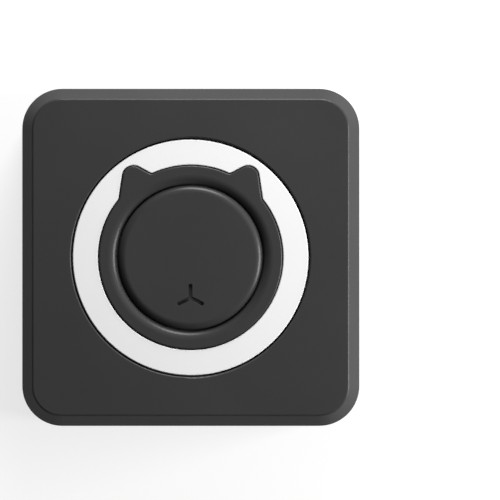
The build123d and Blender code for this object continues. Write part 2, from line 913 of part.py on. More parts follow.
def make_cover_shell():
    """Front cover: a shallow shell with the recess for the ring and the disc."""
    shell = body_prism(0, cover_z, bevel_z) + bevel_block(0, body_depth)
    shell = fillet(top_edges(shell, body_depth), face_edge_radius)
    shell = fillet(top_edges(shell, cover_z), rim_edge_radius)
    shell -= body_prism(wall, cover_z - 1, bevel_z) + bevel_block(wall, roof_z)
    corner = block(-half_w - 1, half_w + 1, -half_h - 1, hinge_y, cover_z - 1, hinge_z)
    corner -= rod(hinge_y, hinge_z, -half_w - 2, half_w + 2, hinge_radius)
    shell -= corner
    knuckles = [
        (ear_start - part_gap - knuckle_width, ear_start - part_gap),
        (ear_start + ear_width + part_gap, ear_start + ear_width + part_gap + knuckle_width),
    ]
    envelope = body_prism(0, cover_z, bevel_z + 1)
    lip = rod(hinge_y, hinge_z, -half_w, half_w, hinge_radius)
    lip -= rod(hinge_y, hinge_z, -half_w - 1, half_w + 1, hinge_radius - wall)
    lip &= block(-half_w, half_w, -half_h, hinge_y, cover_z, hinge_z)
    shell += lip & envelope
    for x0, x1 in knuckles:
        for knuckle in mirrored(rod(hinge_y, hinge_z, x0, x1, hinge_radius)):
            shell += knuckle & envelope
    for sign in (-1, 1):
        near = sign * (ear_start - part_gap)
        far = sign * (ear_start + ear_width + part_gap)
        shell -= rod(
            hinge_y, hinge_z, min(near, far), max(near, far), hinge_radius + part_gap
        )
        start = sign * (ear_start - knuckle_width + 0.5)
        end = sign * (ear_start + ear_width + knuckle_width - 0.5)
        shell -= rod(
            hinge_y, hinge_z, min(start, end), max(start, end), hinge_pin_radius + running_gap
        )
    recess_z = body_depth - ring_sink - ring_thickness
    recess = extrude(Pos(0, 0, recess_z) * Circle(ring_radius + ring_outer_gap), roof_thickness)
    island = extrude(Pos(0, 0, recess_z - 0.1) * head_sketch(), body_depth - recess_z + 0.1)
    island = fillet(top_edges(island, body_depth), head_edge_radius)
    shell -= recess
    rim = top_edges(shell, body_depth).filter_by(GeomType.CIRCLE).group_by(SortBy.RADIUS)[-1]
    shell = fillet(rim, head_edge_radius)
    shell += island
    for x, y in peg_places():
        shell -= post(x, y, roof_z - 1, body_depth, peg_radius + running_gap)
    seat = disc_radius + disc_gap
    shell -= make_dish(seat)
    shell -= post(0, 0, body_depth - disc_thickness, body_depth + 1, seat)
    for x, y in bracket_screw_places() + hook_screw_places():
        shell -= post(x, y, roof_z - 1, roof_z + 1.6, small_screw_radius)
    shell -= block(
        -slot_half_length, slot_half_length, inner_y - 1, half_h + 1,
        cover_z - 1, cover_z + slot_upper_cut,
    )
    return shell


def peg_places():
    """Places of the pegs that hold the ring."""
    return [polar(peg_circle, 360 * n / peg_count) for n in range(peg_count)]


def make_front_ring():
    """Pale ring that lies round the eared plate."""
    low = body_depth - ring_sink - ring_thickness
    high = body_depth - ring_sink
    sketch = Circle(ring_radius) - offset(head_sketch(), ring_inner_gap)
    ring = extrude(Pos(0, 0, low) * sketch, ring_thickness)
    ring = fillet(top_edges(ring, high), ring_edge_radius)
    for x, y in peg_places():
        ring += post(x, y, roof_z - 0.4, low + 0.1, peg_radius)
    return ring


def make_face_disc():
    """Disc in the middle of the face with its three-armed mark."""
    low = body_depth - disc_thickness
    disc = post(0, 0, low, body_depth, disc_radius)
    disc = fillet(top_edges(disc, body_depth), disc_edge_radius)
    arms = [(90, mark_stem), (180 + mark_arm_angle, mark_arm), (-mark_arm_angle, mark_arm)]
    mark = None
    for angle, length in arms:
        arm = Pos(0, -mark_drop) * Rot(0, 0, angle) * Pos(length / 2, 0) * SlotCenterToCenter(
            length, mark_width
        )
        mark = arm if mark is None else mark + arm
    return disc - extrude(Pos(0, 0, body_depth - mark_depth) * mark, mark_depth + 1)


def bracket_screw_places():
    """Places of the screws that hold the platen bracket."""
    return [(sign * (plate_in - 5.4), platen_y + y) for sign in (-1, 1) for y in (-3.5, 3.5)]


def hook_screw_places():
    """Places of the two screws that hold the latch hook."""
    x = -inner_x + hook_wall_gap + hook_foot_reach - 2.0
    return [(x, release_y - 2.3), (x, release_y + 2.3)]


def make_platen_bracket():
    """Bracket under the cover's roof whose two arms hold the platen."""
    half = plate_in - 0.4
    top = block(-half, half, platen_y - 5.5, platen_y + 5.5, roof_z - 1.6, roof_z)
    arm = Pos(platen_y, (platen_z + roof_z) / 2) * Rectangle(6.4, roof_z - platen_z)
    arm += Pos(platen_y, platen_z) * Circle(3.2)
    arm -= Pos(platen_y, platen_z) * Circle(platen_shaft_radius + running_gap)
    for side in mirrored(side_profile(arm, half - 1.4, half)):
        top += side
    for x, y in bracket_screw_places():
        top -= post(x, y, roof_z - 3, roof_z + 1, small_screw_radius)
    return top


def make_cover_screws():
    """Screws that hold the bracket and the latch hook to the cover."""
    screws = []
    for x, y in bracket_screw_places() + hook_screw_places():
        screws.append(pan_screw(
            x, y, roof_z - 1.6, False, 1.6 + 1.5, small_screw_radius,
            small_head_radius, small_head_height,
        ))
    return screws


def make_tear_bar():
    """Thin steel bar with a row of teeth above the paper slot."""
    low = cover_z + slot_upper_cut
    high = low + tear_height
    count = int(2 * tear_half_length / tear_tooth_pitch)
    half = count * tear_tooth_pitch / 2
    points = [(-half, high)]
    for n in range(count):
        x = -half + n * tear_tooth_pitch
        points.append((x, low))
        points.append((x + tear_tooth_pitch / 2, low - tear_tooth_depth / 2))
    points.append((half, low))
    points.append((half, high))
    sketch = Plane.XZ.offset(-inner_y) * Polygon(*points, align=None)
    return extrude(sketch, tear_thickness)


def make_latch_hook():
    """Springy hook on the cover that snaps under the ledge of the rear case."""
    outer = -inner_x + hook_wall_gap
    y0 = release_y - hook_width / 2
    y1 = release_y + hook_width / 2
    foot = block(outer, outer + hook_foot_reach, y0, y1, roof_z - 1.6, roof_z)
    tip = release_z - release_height / 2
    leg = block(outer, outer + hook_thickness, y0, y1, tip, roof_z)
    nose_top = split_height - ledge_drop - ledge_thickness - part_gap
    nose = Plane.XZ.offset(-y1) * Polygon(
        (outer, nose_top), (outer - hook_nose, nose_top),
        (outer, nose_top - hook_nose_height), align=None,
    )
    hook = foot + leg + extrude(nose, hook_width)
    for x, y in hook_screw_places():
        hook -= post(x, y, roof_z - 3, roof_z + 1, small_screw_radius)
    return hook


# Buttons, port and light

def side_key(sign, y, z, length, height, radius):
    """Key that lies flush in a side wall, with a lip inside that keeps it in."""
    key = Pos(y, z) * RectangleRounded(length, height, radius)
    lip = Pos(y, z) * RectangleRounded(length + 2 * button_lip, height + 2 * button_lip, radius)
    x_lip = inner_x - running_gap
    body = side_profile(key, x_lip - button_flange, half_w)
    body += side_profile(lip, x_lip - button_flange, x_lip)
    front = body.faces().sort_by(Axis.X)[-1]
    body = fillet(front.edges(), 0.3)
    return body if sign > 0 else mirror(body, Plane.YZ)


def make_power_button():
    """Power key on the right side."""
    length = power_length - 2 * button_gap
    height = power_height - 2 * button_gap
    return side_key(1, power_y, power_z, length, height, height / 2 - 0.01)


def make_release_button():
    """Cover release key on the left side, with a pusher towards the latch hook."""
    length = release_length - 2 * button_gap
    height = release_height - 2 * button_gap
    key = side_key(-1, release_y, release_z, length, height, 1.5 - button_gap)
    start = -inner_x + hook_wall_gap - part_gap
    pusher = block(
        -inner_x, start, release_y - 2, release_y + 2, release_z - 1.5, release_z + 1.5
    )
    return key + pusher


def make_tact_switch():
    """Side-pressed switch on the port board."""
    back = io_board_right - 3.4
    body = block(back, io_board_right, power_y - 3, power_y + 3, board_top, power_z + 2.0)
    return body - rod(power_y, power_z, back + 1.2, half_w, 1.2 + running_gap)


def make_tact_plunger():
    """Plunger of the switch, carried inwards by the power key."""
    back = io_board_right - 3.4
    return rod(power_y, power_z, back + 2.0, inner_x - running_gap - button_flange, 1.2)


def make_usb_shell():
    """Metal shell of the charging socket."""
    end = half_w - port_sink
    outer = Pos(port_y, port_z) * RectangleRounded(port_width, port_height, port_height / 2 - 0.01)
    inner = Pos(port_y, port_z) * RectangleRounded(
        port_width - 2 * port_wall, port_height - 2 * port_wall, port_height / 2 - port_wall - 0.01
    )
    shell = side_profile(outer, end - port_length, end)
    return shell - side_profile(inner, end - port_length + 1.0, end + 1)


def make_usb_tongue():
    """Contact tongue inside the socket."""
    end = half_w - port_sink
    return block(
        end - port_length + 1.0, end - 0.9,
        port_y - 3.3, port_y + 3.3, port_z - 0.35, port_z + 0.35,
    )


def make_status_led():
    """Side-firing light on the port board."""
    return block(
        io_board_right - 2.2, io_board_right - 0.4,
        light_y - 1.5, light_y + 1.5, board_top, port_z + 0.9,
    )


def make_light_window():
    """Clear light guide through the side wall."""
    guide = rod(light_y, port_z, io_board_right - 0.3, half_w - 0.05, light_radius)
    return guide


# Boards, cell and leads

def make_main_board():
    """Main circuit board under the mechanism."""
    board = block(
        -board_half_width, board_half_width, board_rear_y, inner_y - board_front_gap,
        board_z, board_top,
    )
    for x, y in board_post_places()[:4]:
        board -= post(x, y, board_z - 1, board_top + 1, small_screw_radius)
    return board


def make_io_board():
    """Narrow board along the right side for the port, the switch and the light."""
    board = block(
        io_board_left, io_board_right, io_board_rear_y, io_board_front_y, board_z, board_top
    )
    for x, y in board_post_places()[4:]:
        board -= post(x, y, board_z - 1, board_top + 1, small_screw_radius)
    return board


def make_board_screws():
    """Screws that hold the boards."""
    return [
        pan_screw(x, y, board_top, True, board_thickness + 1.6, small_screw_radius,
                  small_head_radius, small_head_height)
        for x, y in board_post_places()
    ]


def chip(x, y, width, length, rise):
    """Flat chip on a board with its place and size."""
    return block(
        x - width / 2, x + width / 2, y - length / 2, y + length / 2, board_top, board_top + rise
    )


def behind_platen(place, shift=0.0):
    """Chip at a place measured from the platen, moved across by shift."""
    x, back, width, length, rise = place
    return chip(x + shift, platen_y + back, width, length, rise)


def make_board_chips():
    """Processor, memory and driver chips."""
    return [behind_platen(place) for place in chip_places]


def make_rf_shield():
    """Tinned can over the radio."""
    can = behind_platen(shield_place)
    return fillet(can.edges().filter_by(Axis.Z), 0.6)


def make_board_capacitors():
    """Flat capacitors beside the drivers."""
    return [behind_platen(capacitor_place, capacitor_pitch * n) for n in range(capacitor_count)]


def make_board_connectors():
    """White plugs for the motor, the head and the port board."""
    head = chip(
        flex_x, pivot_y + flex_plug_back, 2 * (flex_half_width + flex_plug_rim),
        flex_plug_length, flex_plug_rise,
    )
    motor = chip(motor_plug_x, motor_y, motor_plug_width, motor_plug_length, plug_rise)
    side = chip(board_half_width - 8.0, board_rear_y + 5.5, 3.6, 4.0, plug_rise)
    port = block(
        io_board_left + 0.4, io_board_left + 3.4,
        io_board_front_y - 5.0, io_board_front_y - 0.8, board_top, board_top + plug_rise,
    )
    return [head, motor, side, port]


def make_io_ribbon():
    """Flat ribbon between the two boards, standing on its edge."""
    z = board_top + 1.7
    lane = tray_half + 1.6
    turn_y = board_rear_y + 0.5
    end_x = board_half_width - 8.0
    path = FilletPolyline(
        (lane, io_board_front_y - 0.8, z),
        (lane, turn_y, z),
        (end_x, turn_y + 0.6, z),
        (end_x, board_rear_y + 3.5, z),
        radius=[1.6, 1.2],
    )
    section = Plane(origin=path @ 0, z_dir=path % 0, x_dir=(0, 0, 1)) * Rectangle(2.0, 0.4)
    return sweep(section, path=path)


def make_battery_cell():
    """Flat lithium cell standing behind the roll bay."""
    y0 = -inner_y + battery_wall_gap
    cell = block(
        -battery_width / 2, battery_width / 2, y0, y0 + battery_thickness,
        floor_z + seat_gap, floor_z + seat_gap + battery_height,
    )
    return fillet(cell.edges().filter_by(Axis.X), battery_edge_radius)


def battery_lead(offset_z):
    """Lead from the cell's end to the port board."""
    y = -inner_y + battery_wall_gap + battery_thickness / 2
    z = floor_z + 9.0 + offset_z
    side = io_board_left + 2.75 - offset_z
    plug_z = board_top + 1.5
    path = FilletPolyline(
        (battery_width / 2, y, z),
        (battery_width / 2 + 6.0 - offset_z, y, z),
        (side, io_board_rear_y - 2.5, plug_z),
        (side, io_board_rear_y + 2.0, plug_z),
        radius=[2.2, 1.6],
    )
    section = Plane(origin=path @ 0, z_dir=path % 0) * Circle(lead_radius)
    return sweep(section, path=path)


def make_battery_plug():
    """White plug of the cell's leads."""
    return block(
        io_board_left + 0.5, io_board_left + 5.0,
        io_board_rear_y + 2.0, io_board_rear_y + 6.0, board_top, board_top + 3.0,
    )


nodes = {
    "rear_case": make_rear_case(),
    "rubber_feet": make_feet(),
    "case_screws": make_case_screws(),
    "hinge_pins": make_hinge_pins(),
    "paper_tray": make_paper_tray(),
    "mech_frame": make_mech_frame(),
    "mech_screws": make_mech_screws(),
    "head_springs": make_head_springs(),
    "head_heatsink": make_heatsink(),
    "head_substrate": make_substrate(),
    "head_driver": make_head_driver(),
    "head_flex": make_head_flex(),
    "head_pivot_shaft": make_pivot_shaft(),
    "paper_sensor": make_paper_sensor(),
    "platen_gear": make_platen_gear(),
    "idler_gear": make_idler_gear(),
    "idler_stud": make_idler_stud(),
    "motor_pinion": make_motor_pinion(),
    "motor_shaft": make_motor_shaft(),
    "motor_body": make_motor_body(),
    "motor_screws": make_motor_screws(),
    "motor_leads": make_motor_leads(),
    "platen_shaft": make_platen_shaft(),
    "platen_rubber": make_platen_rubber(),
    "platen_bushes": make_platen_bushes(),
    "cover_shell": make_cover_shell(),
    "front_ring": make_front_ring(),
    "face_disc": make_face_disc(),
    "platen_bracket": make_platen_bracket(),
    "cover_screws": make_cover_screws(),
    "tear_bar": make_tear_bar(),
    "latch_hook": make_latch_hook(),
    "power_button": make_power_button(),
    "release_button": make_release_button(),
    "tact_switch": make_tact_switch(),
    "tact_plunger": make_tact_plunger(),
    "usb_shell": make_usb_shell(),
    "usb_tongue": make_usb_tongue(),
    "status_led": make_status_led(),
    "light_window": make_light_window(),
    "main_board": make_main_board(),
    "io_board": make_io_board(),
    "board_screws": make_board_screws(),
    "board_chips": make_board_chips(),
    "rf_shield": make_rf_shield(),
    "board_capacitors": make_board_capacitors(),
    "board_connectors": make_board_connectors(),
    "io_ribbon": make_io_ribbon(),
    "battery_cell": make_battery_cell(),
    "battery_lead_red": battery_lead(1.0),
    "battery_lead_black": battery_lead(-1.0),
    "battery_plug": make_battery_plug(),
}

for name, shape in nodes.items():
    if isinstance(shape, list):
        shape = Compound([solid for piece in shape for solid in piece.solids()])
    export_step(shape, f"parts/{name}.step")
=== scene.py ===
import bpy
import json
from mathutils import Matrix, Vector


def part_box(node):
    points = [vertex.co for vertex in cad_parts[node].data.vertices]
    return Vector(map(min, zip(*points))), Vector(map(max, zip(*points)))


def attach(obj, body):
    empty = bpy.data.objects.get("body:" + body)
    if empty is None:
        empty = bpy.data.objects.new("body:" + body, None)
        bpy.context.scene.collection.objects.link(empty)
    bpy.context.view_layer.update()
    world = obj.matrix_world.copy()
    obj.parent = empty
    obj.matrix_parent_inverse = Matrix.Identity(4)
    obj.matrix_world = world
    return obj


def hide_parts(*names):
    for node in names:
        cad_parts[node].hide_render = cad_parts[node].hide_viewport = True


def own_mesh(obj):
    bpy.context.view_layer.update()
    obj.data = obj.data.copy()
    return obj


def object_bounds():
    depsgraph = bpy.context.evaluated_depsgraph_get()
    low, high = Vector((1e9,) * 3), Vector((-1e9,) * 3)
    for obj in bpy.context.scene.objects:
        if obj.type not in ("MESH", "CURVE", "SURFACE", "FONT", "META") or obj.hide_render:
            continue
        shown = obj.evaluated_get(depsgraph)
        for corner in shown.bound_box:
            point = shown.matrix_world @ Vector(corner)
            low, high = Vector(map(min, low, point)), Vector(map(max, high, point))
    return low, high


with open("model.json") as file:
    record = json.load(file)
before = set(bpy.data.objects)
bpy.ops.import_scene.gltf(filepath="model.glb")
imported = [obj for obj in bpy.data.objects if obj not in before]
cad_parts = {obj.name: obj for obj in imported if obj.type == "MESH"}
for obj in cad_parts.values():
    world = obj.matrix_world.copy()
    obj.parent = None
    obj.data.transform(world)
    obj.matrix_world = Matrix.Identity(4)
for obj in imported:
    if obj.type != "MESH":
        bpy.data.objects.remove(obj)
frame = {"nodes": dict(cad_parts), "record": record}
"""Mini sticker printer: finishes, fine pieces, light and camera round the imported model.

The printer lies on its back with its face up: X runs right and Y up over the face, Z up from the floor.
All lengths are in metres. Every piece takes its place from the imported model's own nodes.
"""
import json
import logging
import math
from dataclasses import dataclass, field
from enum import Enum

import bpy
import numpy as np
from bpy.types import Material, Node, NodeInputs, NodeOutputs, NodeSocket, NodeTree, Object
from mathutils import Vector

PACKED_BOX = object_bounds()
MM = 0.001
SHEEN_IOR = 2.0
SHEEN_ROUGHNESS = 0.3
FULL_TURN = 2.0 * math.pi
RIB_SIDES = 12
LATHE_SIDES = 64
RIGHT, BACK, UP = np.eye(3)
Triple = tuple[float, float, float]
WHITE: Triple = (1.0, 1.0, 1.0)
FLOAT, VECTOR, COLOUR = "NodeSocketFloat", "NodeSocketVector", "NodeSocketColor"

logging.basicConfig(level=logging.INFO, format="%(message)s")
log = logging.getLogger("printer")


class Graph:
    """Short way to add and join the nodes of one shader tree."""

    def __init__(self, tree: NodeTree) -> None:
        """Keeps the tree that nodes are added to."""
        self.tree = tree

    def add(self, kind: str, inputs: dict | None = None, **settings: object) -> Node:
        """Adds a node.

        Args:
            kind: Blender's name of the node type after ShaderNode.
            inputs: a value or a socket to link for each input, by name or number.
            settings: properties of the node itself.

        Returns:
            The new node.
        """
        node = self.tree.nodes.new("ShaderNode" + kind)
        for name, value in settings.items():
            setattr(node, name, value)
        for key, value in (inputs or {}).items():
            if isinstance(value, NodeSocket):
                self.tree.links.new(value, node.inputs[key])
            else:
                node.inputs[key].default_value = value
        return node

    def maths(self, operation: str, first: object, second: object = 0.0) -> NodeSocket:
        """Adds a Math node and returns its output."""
        return self.add("Math", {0: first, 1: second}, operation=operation).outputs[0]

    def blend(self, share: object, first: object, second: object) -> NodeSocket:
        """Adds a colour Mix node.

        Args:
            share: how much of the second colour there is, from 0 to 1.
            first: colour or socket at 0.
            second: colour or socket at 1.

        Returns:
            Its colour output.
        """
        node = self.add("Mix", data_type="RGBA")
        for slot, value in ((0, share), (6, first), (7, second)):
            if isinstance(value, NodeSocket):
                self.tree.links.new(value, node.inputs[slot])
            else:
                node.inputs[slot].default_value = value
        return node.outputs[2]

    def ramp(self, value: object, low: float, high: float, start: float = 0.0,
             end: float = 1.0) -> NodeSocket:
        """Maps a value from low..high to start..end, held at both ends, and returns the result."""
        node = self.add("MapRange", {0: value, 1: low, 2: high, 3: start, 4: end}, clamp=True)
        return node.outputs[0]

    def noise(self, place: object, scale: float, detail: float = 2.0,
              roughness: float = 0.5) -> NodeSocket:
        """Adds a Noise Texture at a place and returns its value, about 0.5 on average."""
        inputs = {"Vector": place, "Scale": scale, "Detail": detail, "Roughness": roughness}
        return self.add("TexNoise", inputs).outputs[0]


def rgba(colour: Triple) -> tuple[float, float, float, float]:
    """The colour with a full alpha."""
    return (*colour, 1.0)


class Effects:
    """Shader effects that several finishes share, each built once as a node group."""

    DRIFT_RANGE = (0.3, 0.7)
    MASK_RANGE = (0.35, 0.65)
    FINE_SHARE = 0.6
    WIDE_SHARE = 0.4
    WIDE_SCALE = 0.22
    EDGE_RADIUS = 0.4 * MM
    EDGE_RANGE = (0.99, 0.86)
    PATCH_RANGE = (0.42, 0.62)
    SPECK_RADIUS = 0.22
    RELIEF = {"Height": FLOAT, "Mask": FLOAT}

    def __init__(self) -> None:
        """Builds every group."""
        self.tone = self._tone()
        self.grain = self._grain()
        self.wear = self._wear()
        self.brush = self._brush()
        self.specks = self._specks()
        self.stripes = self._stripes()

    @staticmethod
    def _group(name: str, inputs: dict[str, str],
               outputs: dict[str, str]) -> tuple[NodeTree, Graph, NodeOutputs, NodeInputs]:
        """Makes an empty group with its sockets.

        Args:
            name: the group's name.
            inputs: kinds of its inputs by name, besides Place, which is the surface point.
            outputs: kinds of its outputs by name.

        Returns:
            The group, a graph on it, what it is given and where its results go.
        """
        tree = bpy.data.node_groups.new(name, "ShaderNodeTree")
        for way, sockets in (("INPUT", {"Place": VECTOR, **inputs}), ("OUTPUT", outputs)):
            for title, kind in sockets.items():
                tree.interface.new_socket(name=title, in_out=way, socket_type=kind)
        given = tree.nodes.new("NodeGroupInput").outputs
        out = tree.nodes.new("NodeGroupOutput").inputs
        return tree, Graph(tree), given, out

    def _tone(self) -> NodeTree:
        """Slow drift of a colour's lightness over the surface: colour x (1 - amount .. 1 + amount).

        Returns:
            The node group.
        """
        tree, graph, given, out = self._group(
            "Tone drift", {"Colour": COLOUR, "Scale": FLOAT, "Amount": FLOAT}, {"Colour": COLOUR})
        slow = graph.noise(given["Place"], scale=1.0, detail=3.0)
        tree.links.new(given["Scale"], slow.node.inputs["Scale"])
        drift = graph.ramp(slow, *self.DRIFT_RANGE, -1.0, 1.0)
        factor = graph.maths("ADD", graph.maths("MULTIPLY", drift, given["Amount"]), 1.0)
        scaled = graph.add("VectorMath", {0: given["Colour"]}, operation="SCALE")
        tree.links.new(factor, scaled.inputs["Scale"])
        tree.links.new(scaled.outputs[0], out["Colour"])
        return tree

    def _grain(self) -> NodeTree:
        """Fine sand-like mould grain: a height and a mask from two sizes of noise.

        Returns:
            The node group.
        """
        tree, graph, given, out = self._group("Mould grain", {"Scale": FLOAT}, self.RELIEF)
        fine = graph.noise(given["Place"], scale=1.0, detail=2.0)
        tree.links.new(given["Scale"], fine.node.inputs["Scale"])
        wide_scale = graph.maths("MULTIPLY", given["Scale"], self.WIDE_SCALE)
        wide = graph.noise(given["Place"], scale=1.0, detail=1.0)
        tree.links.new(wide_scale, wide.node.inputs["Scale"])
        fine_part = graph.maths("MULTIPLY", fine, self.FINE_SHARE)
        height = graph.maths("ADD", fine_part, graph.maths("MULTIPLY", wide, self.WIDE_SHARE))
        tree.links.new(height, out["Height"])
        tree.links.new(graph.ramp(wide, *self.MASK_RANGE), out["Mask"])
        return tree

    def _wear(self) -> NodeTree:
        """Rubbed edges: where the rounded-off normal leaves the true one, broken up by noise.

        Returns:
            The node group.
        """
        tree, graph, given, out = self._group("Edge wear", {"Amount": FLOAT}, {"Mask": FLOAT})
        soft = graph.add("Bevel", {"Radius": self.EDGE_RADIUS}, samples=4)
        flat = graph.add("NewGeometry")
        along = graph.add("VectorMath", {0: soft.outputs[0], 1: flat.outputs["Normal"]},
                          operation="DOT_PRODUCT")
        edge = graph.ramp(along.outputs["Value"], *self.EDGE_RANGE)
        patches = graph.noise(given["Place"], scale=420.0, detail=4.0, roughness=0.65)
        patchy = graph.ramp(patches, *self.PATCH_RANGE)
        mask = graph.maths("MULTIPLY", graph.maths("MULTIPLY", edge, patchy), given["Amount"])
        tree.links.new(mask, out["Mask"])
        return tree

    def _brush(self) -> NodeTree:
        """Drawn or ground lines: noise stretched along one axis by the Stretch vector.

        Returns:
            The node group.
        """
        tree, graph, given, out = self._group("Drawn lines", {"Stretch": VECTOR}, self.RELIEF)
        place = graph.add("VectorMath", {0: given["Place"], 1: given["Stretch"]},
                          operation="MULTIPLY")
        lines = graph.noise(place.outputs[0], scale=1.0, detail=3.0, roughness=0.6)
        tree.links.new(lines, out["Height"])
        tree.links.new(graph.ramp(lines, *self.MASK_RANGE), out["Mask"])
        return tree

    def _specks(self) -> NodeTree:
        """Sparse round specks: the nearest of scattered points, under a small radius.

        Returns:
            The node group.
        """
        tree, graph, given, out = self._group("Specks", {"Scale": FLOAT, "Share": FLOAT}, {"Mask": FLOAT})
        cells = graph.add("TexVoronoi", {"Vector": given["Place"], "Scale": given["Scale"]})
        near = graph.maths("LESS_THAN", cells.outputs["Distance"], self.SPECK_RADIUS)
        pick = graph.add("SeparateColor", {0: cells.outputs["Color"]})
        chosen = graph.maths("LESS_THAN", pick.outputs[0], given["Share"])
        tree.links.new(graph.maths("MULTIPLY", near, chosen), out["Mask"])
        return tree

    def _stripes(self) -> NodeTree:
        """Even stripes across one axis: fraction of the place along Axis over Pitch, under Duty.

        Returns:
            The node group.
        """
        tree, graph, given, out = self._group(
            "Stripes", {"Axis": VECTOR, "Pitch": FLOAT, "Duty": FLOAT}, self.RELIEF)
        along = graph.add("VectorMath", {0: given["Place"], 1: given["Axis"]},
                          operation="DOT_PRODUCT")
        turns = graph.maths("DIVIDE", along.outputs["Value"], given["Pitch"])
        part = graph.maths("FRACT", turns)
        tree.links.new(graph.maths("LESS_THAN", part, given["Duty"]), out["Mask"])
        wave = graph.maths("SINE", graph.maths("MULTIPLY", turns, FULL_TURN))
        tree.links.new(graph.maths("ABSOLUTE", wave), out["Height"])
        return tree


@dataclass(frozen=True)
class Patch:
    """Closed surface of a fine piece: its points, and its faces as rows of point numbers."""

    points: np.ndarray
    faces: list[list[int]]

    def outward(self) -> "Patch":
        """Turns the faces outwards, so that the sum of p0 . (p1 x p2) over the faces is above zero.

        Returns:
            The patch itself, or one with its faces the other way round.
        """
        first = np.array([face[:3] for face in self.faces])
        a, b, c = (self.points[first[:, n]] - self.points.mean(axis=0) for n in range(3))
        if np.einsum("ij,ij->i", a, np.cross(b, c)).sum() > 0:
            return self
        return Patch(self.points, [face[::-1] for face in self.faces])


@dataclass(frozen=True)
class Rib:
    """Size of a ridge: half its width, its height, how late it tapers, and the points along it."""

    half_width: float
    height: float
    taper: float
    points: int


def circle(count: int) -> np.ndarray:
    """Angles of so many points once round."""
    return np.linspace(0.0, FULL_TURN, count, endpoint=False)


def squarish(angle: np.ndarray, power: float) -> tuple[np.ndarray, np.ndarray]:
    """Cosine and sine of the angle, raised to the power with their sign kept."""
    cosine, sine = (np.sign(wave) * np.abs(wave) ** power for wave in (np.cos(angle), np.sin(angle)))
    return cosine, sine


def rings_to_patch(rings: np.ndarray, start: np.ndarray | None, end: np.ndarray | None) -> Patch:
    """Joins rings of points into a closed surface.

    Args:
        rings: points by ring and by place round the ring. Each ring closes on itself.
        start: point that closes the first ring, or None where the last ring joins the first one.
        end: point that closes the last ring, or None as above.

    Returns:
        The surface with its faces outwards.
    """
    count, around = rings.shape[:2]
    points = rings.reshape(-1, 3)
    near = np.arange(around)
    far = np.roll(near, -1)
    loops = count if start is None else count - 1
    base = np.arange(loops)[:, None] * around
    over = (base + around) % (count * around)
    quads = np.stack([base + near, base + far, over + far, over + near], axis=-1).reshape(-1, 4)
    faces = quads.tolist()
    if start is not None:
        last = (count - 1) * around
        first_fan = np.stack([far, near, np.full(around, count * around)], axis=-1)
        last_fan = np.stack([near + last, far + last, np.full(around, count * around + 1)], axis=-1)
        faces += first_fan.tolist() + last_fan.tolist()
        points = np.vstack([points, start, end])
    return Patch(points, faces).outward()


def ridge(path: np.ndarray, side: np.ndarray, up: np.ndarray, rib: Rib) -> Patch:
    """Rounded ridge along a path, drawn to a point at both ends.

    A point is path(u) + s(u) (half_width cos v side + height sin v up), with s(u) = (1 - |2u - 1|^taper)^0.5
    and v once round.

    Args:
        path: points along the ridge.
        side: direction across the ridge, one for all points or one each.
        up: direction that it rises in, one for all points or one each.
        rib: its size.

    Returns:
        The closed surface.
    """
    u = np.linspace(0.0, 1.0, len(path))[1:-1]
    share = np.sqrt(1.0 - np.abs(2.0 * u - 1.0) ** rib.taper)[:, None, None]
    v = circle(RIB_SIDES)[None, :, None]
    side = np.broadcast_to(side, path.shape)[1:-1, None, :]
    up = np.broadcast_to(up, path.shape)[1:-1, None, :]
    rings = path[1:-1, None, :] + share * (rib.half_width * np.cos(v) * side + rib.height * np.sin(v) * up)
    return rings_to_patch(rings, path[0], path[-1])


def straight_rib(x: float, ends: tuple[float, float], z: float, up: np.ndarray, rib: Rib) -> Patch:
    """Ridge that runs along Y.

    Args:
        x: where it stands.
        ends: where it starts and ends along Y.
        z: height of the surface that it stands on.
        up: direction that it rises in.
        rib: its size.

    Returns:
        The closed surface.
    """
    y = np.linspace(*ends, rib.points)
    path = np.stack([np.full_like(y, x), y, np.full_like(y, z)], axis=-1)
    return ridge(path, RIGHT, up, rib)


def pebble(centre: Triple, half: Triple, power: float, rings: int, around: int) -> Patch:
    """Block with softly rounded edges: a superellipsoid.

    A point is centre + (a c(n) c(w), b c(n) s(w), h s(n)), where c and s are the cosine and sine raised to
    the power with their sign kept, n runs from pole to pole and w once round.

    Args:
        centre: its middle.
        half: half its size along X, Y and Z.
        power: 1 for an egg, near 0 for a sharp block.
        rings: rings between the poles.
        around: points round each ring.

    Returns:
        The closed surface.
    """
    n = np.linspace(-math.pi / 2, math.pi / 2, rings + 2)[1:-1, None]
    w = circle(around)[None, :] + math.pi / around
    upright_c, upright_s = squarish(n, power)
    level_c, level_s = squarish(w, power)
    shape = np.stack([upright_c * level_c, upright_c * level_s, upright_s * np.ones_like(w)], axis=-1)
    middle = np.array(centre)
    pole = half[2] * UP
    return rings_to_patch(middle + shape * np.array(half), middle - pole, middle + pole)


def brick(centre: Triple, half: Triple) -> Patch:
    """Small block with nearly sharp edges and few faces, for parts that repeat."""
    return pebble(centre, half, power=0.25, rings=5, around=12)


def lathe(centre: Triple, radii: np.ndarray, heights: np.ndarray) -> Patch:
    """Surface turned about an upright axis.

    A point is (r cos w, r sin w, h) for each radius r and height h of a profile, with w once round.

    Args:
        centre: where the axis stands; its height is added to the profile's.
        radii: the profile's radii, all above zero; the axis itself closes both ends.
        heights: the profile's heights.

    Returns:
        The closed surface.
    """
    w = circle(LATHE_SIDES)[None, :]
    r = radii[:, None]
    rings = np.stack([r * np.cos(w), r * np.sin(w), heights[:, None] * np.ones_like(w)], axis=-1)
    middle = np.array(centre)
    ends = [middle + heights[n] * UP for n in (0, -1)]
    return rings_to_patch(middle + rings, ends[0], ends[1])


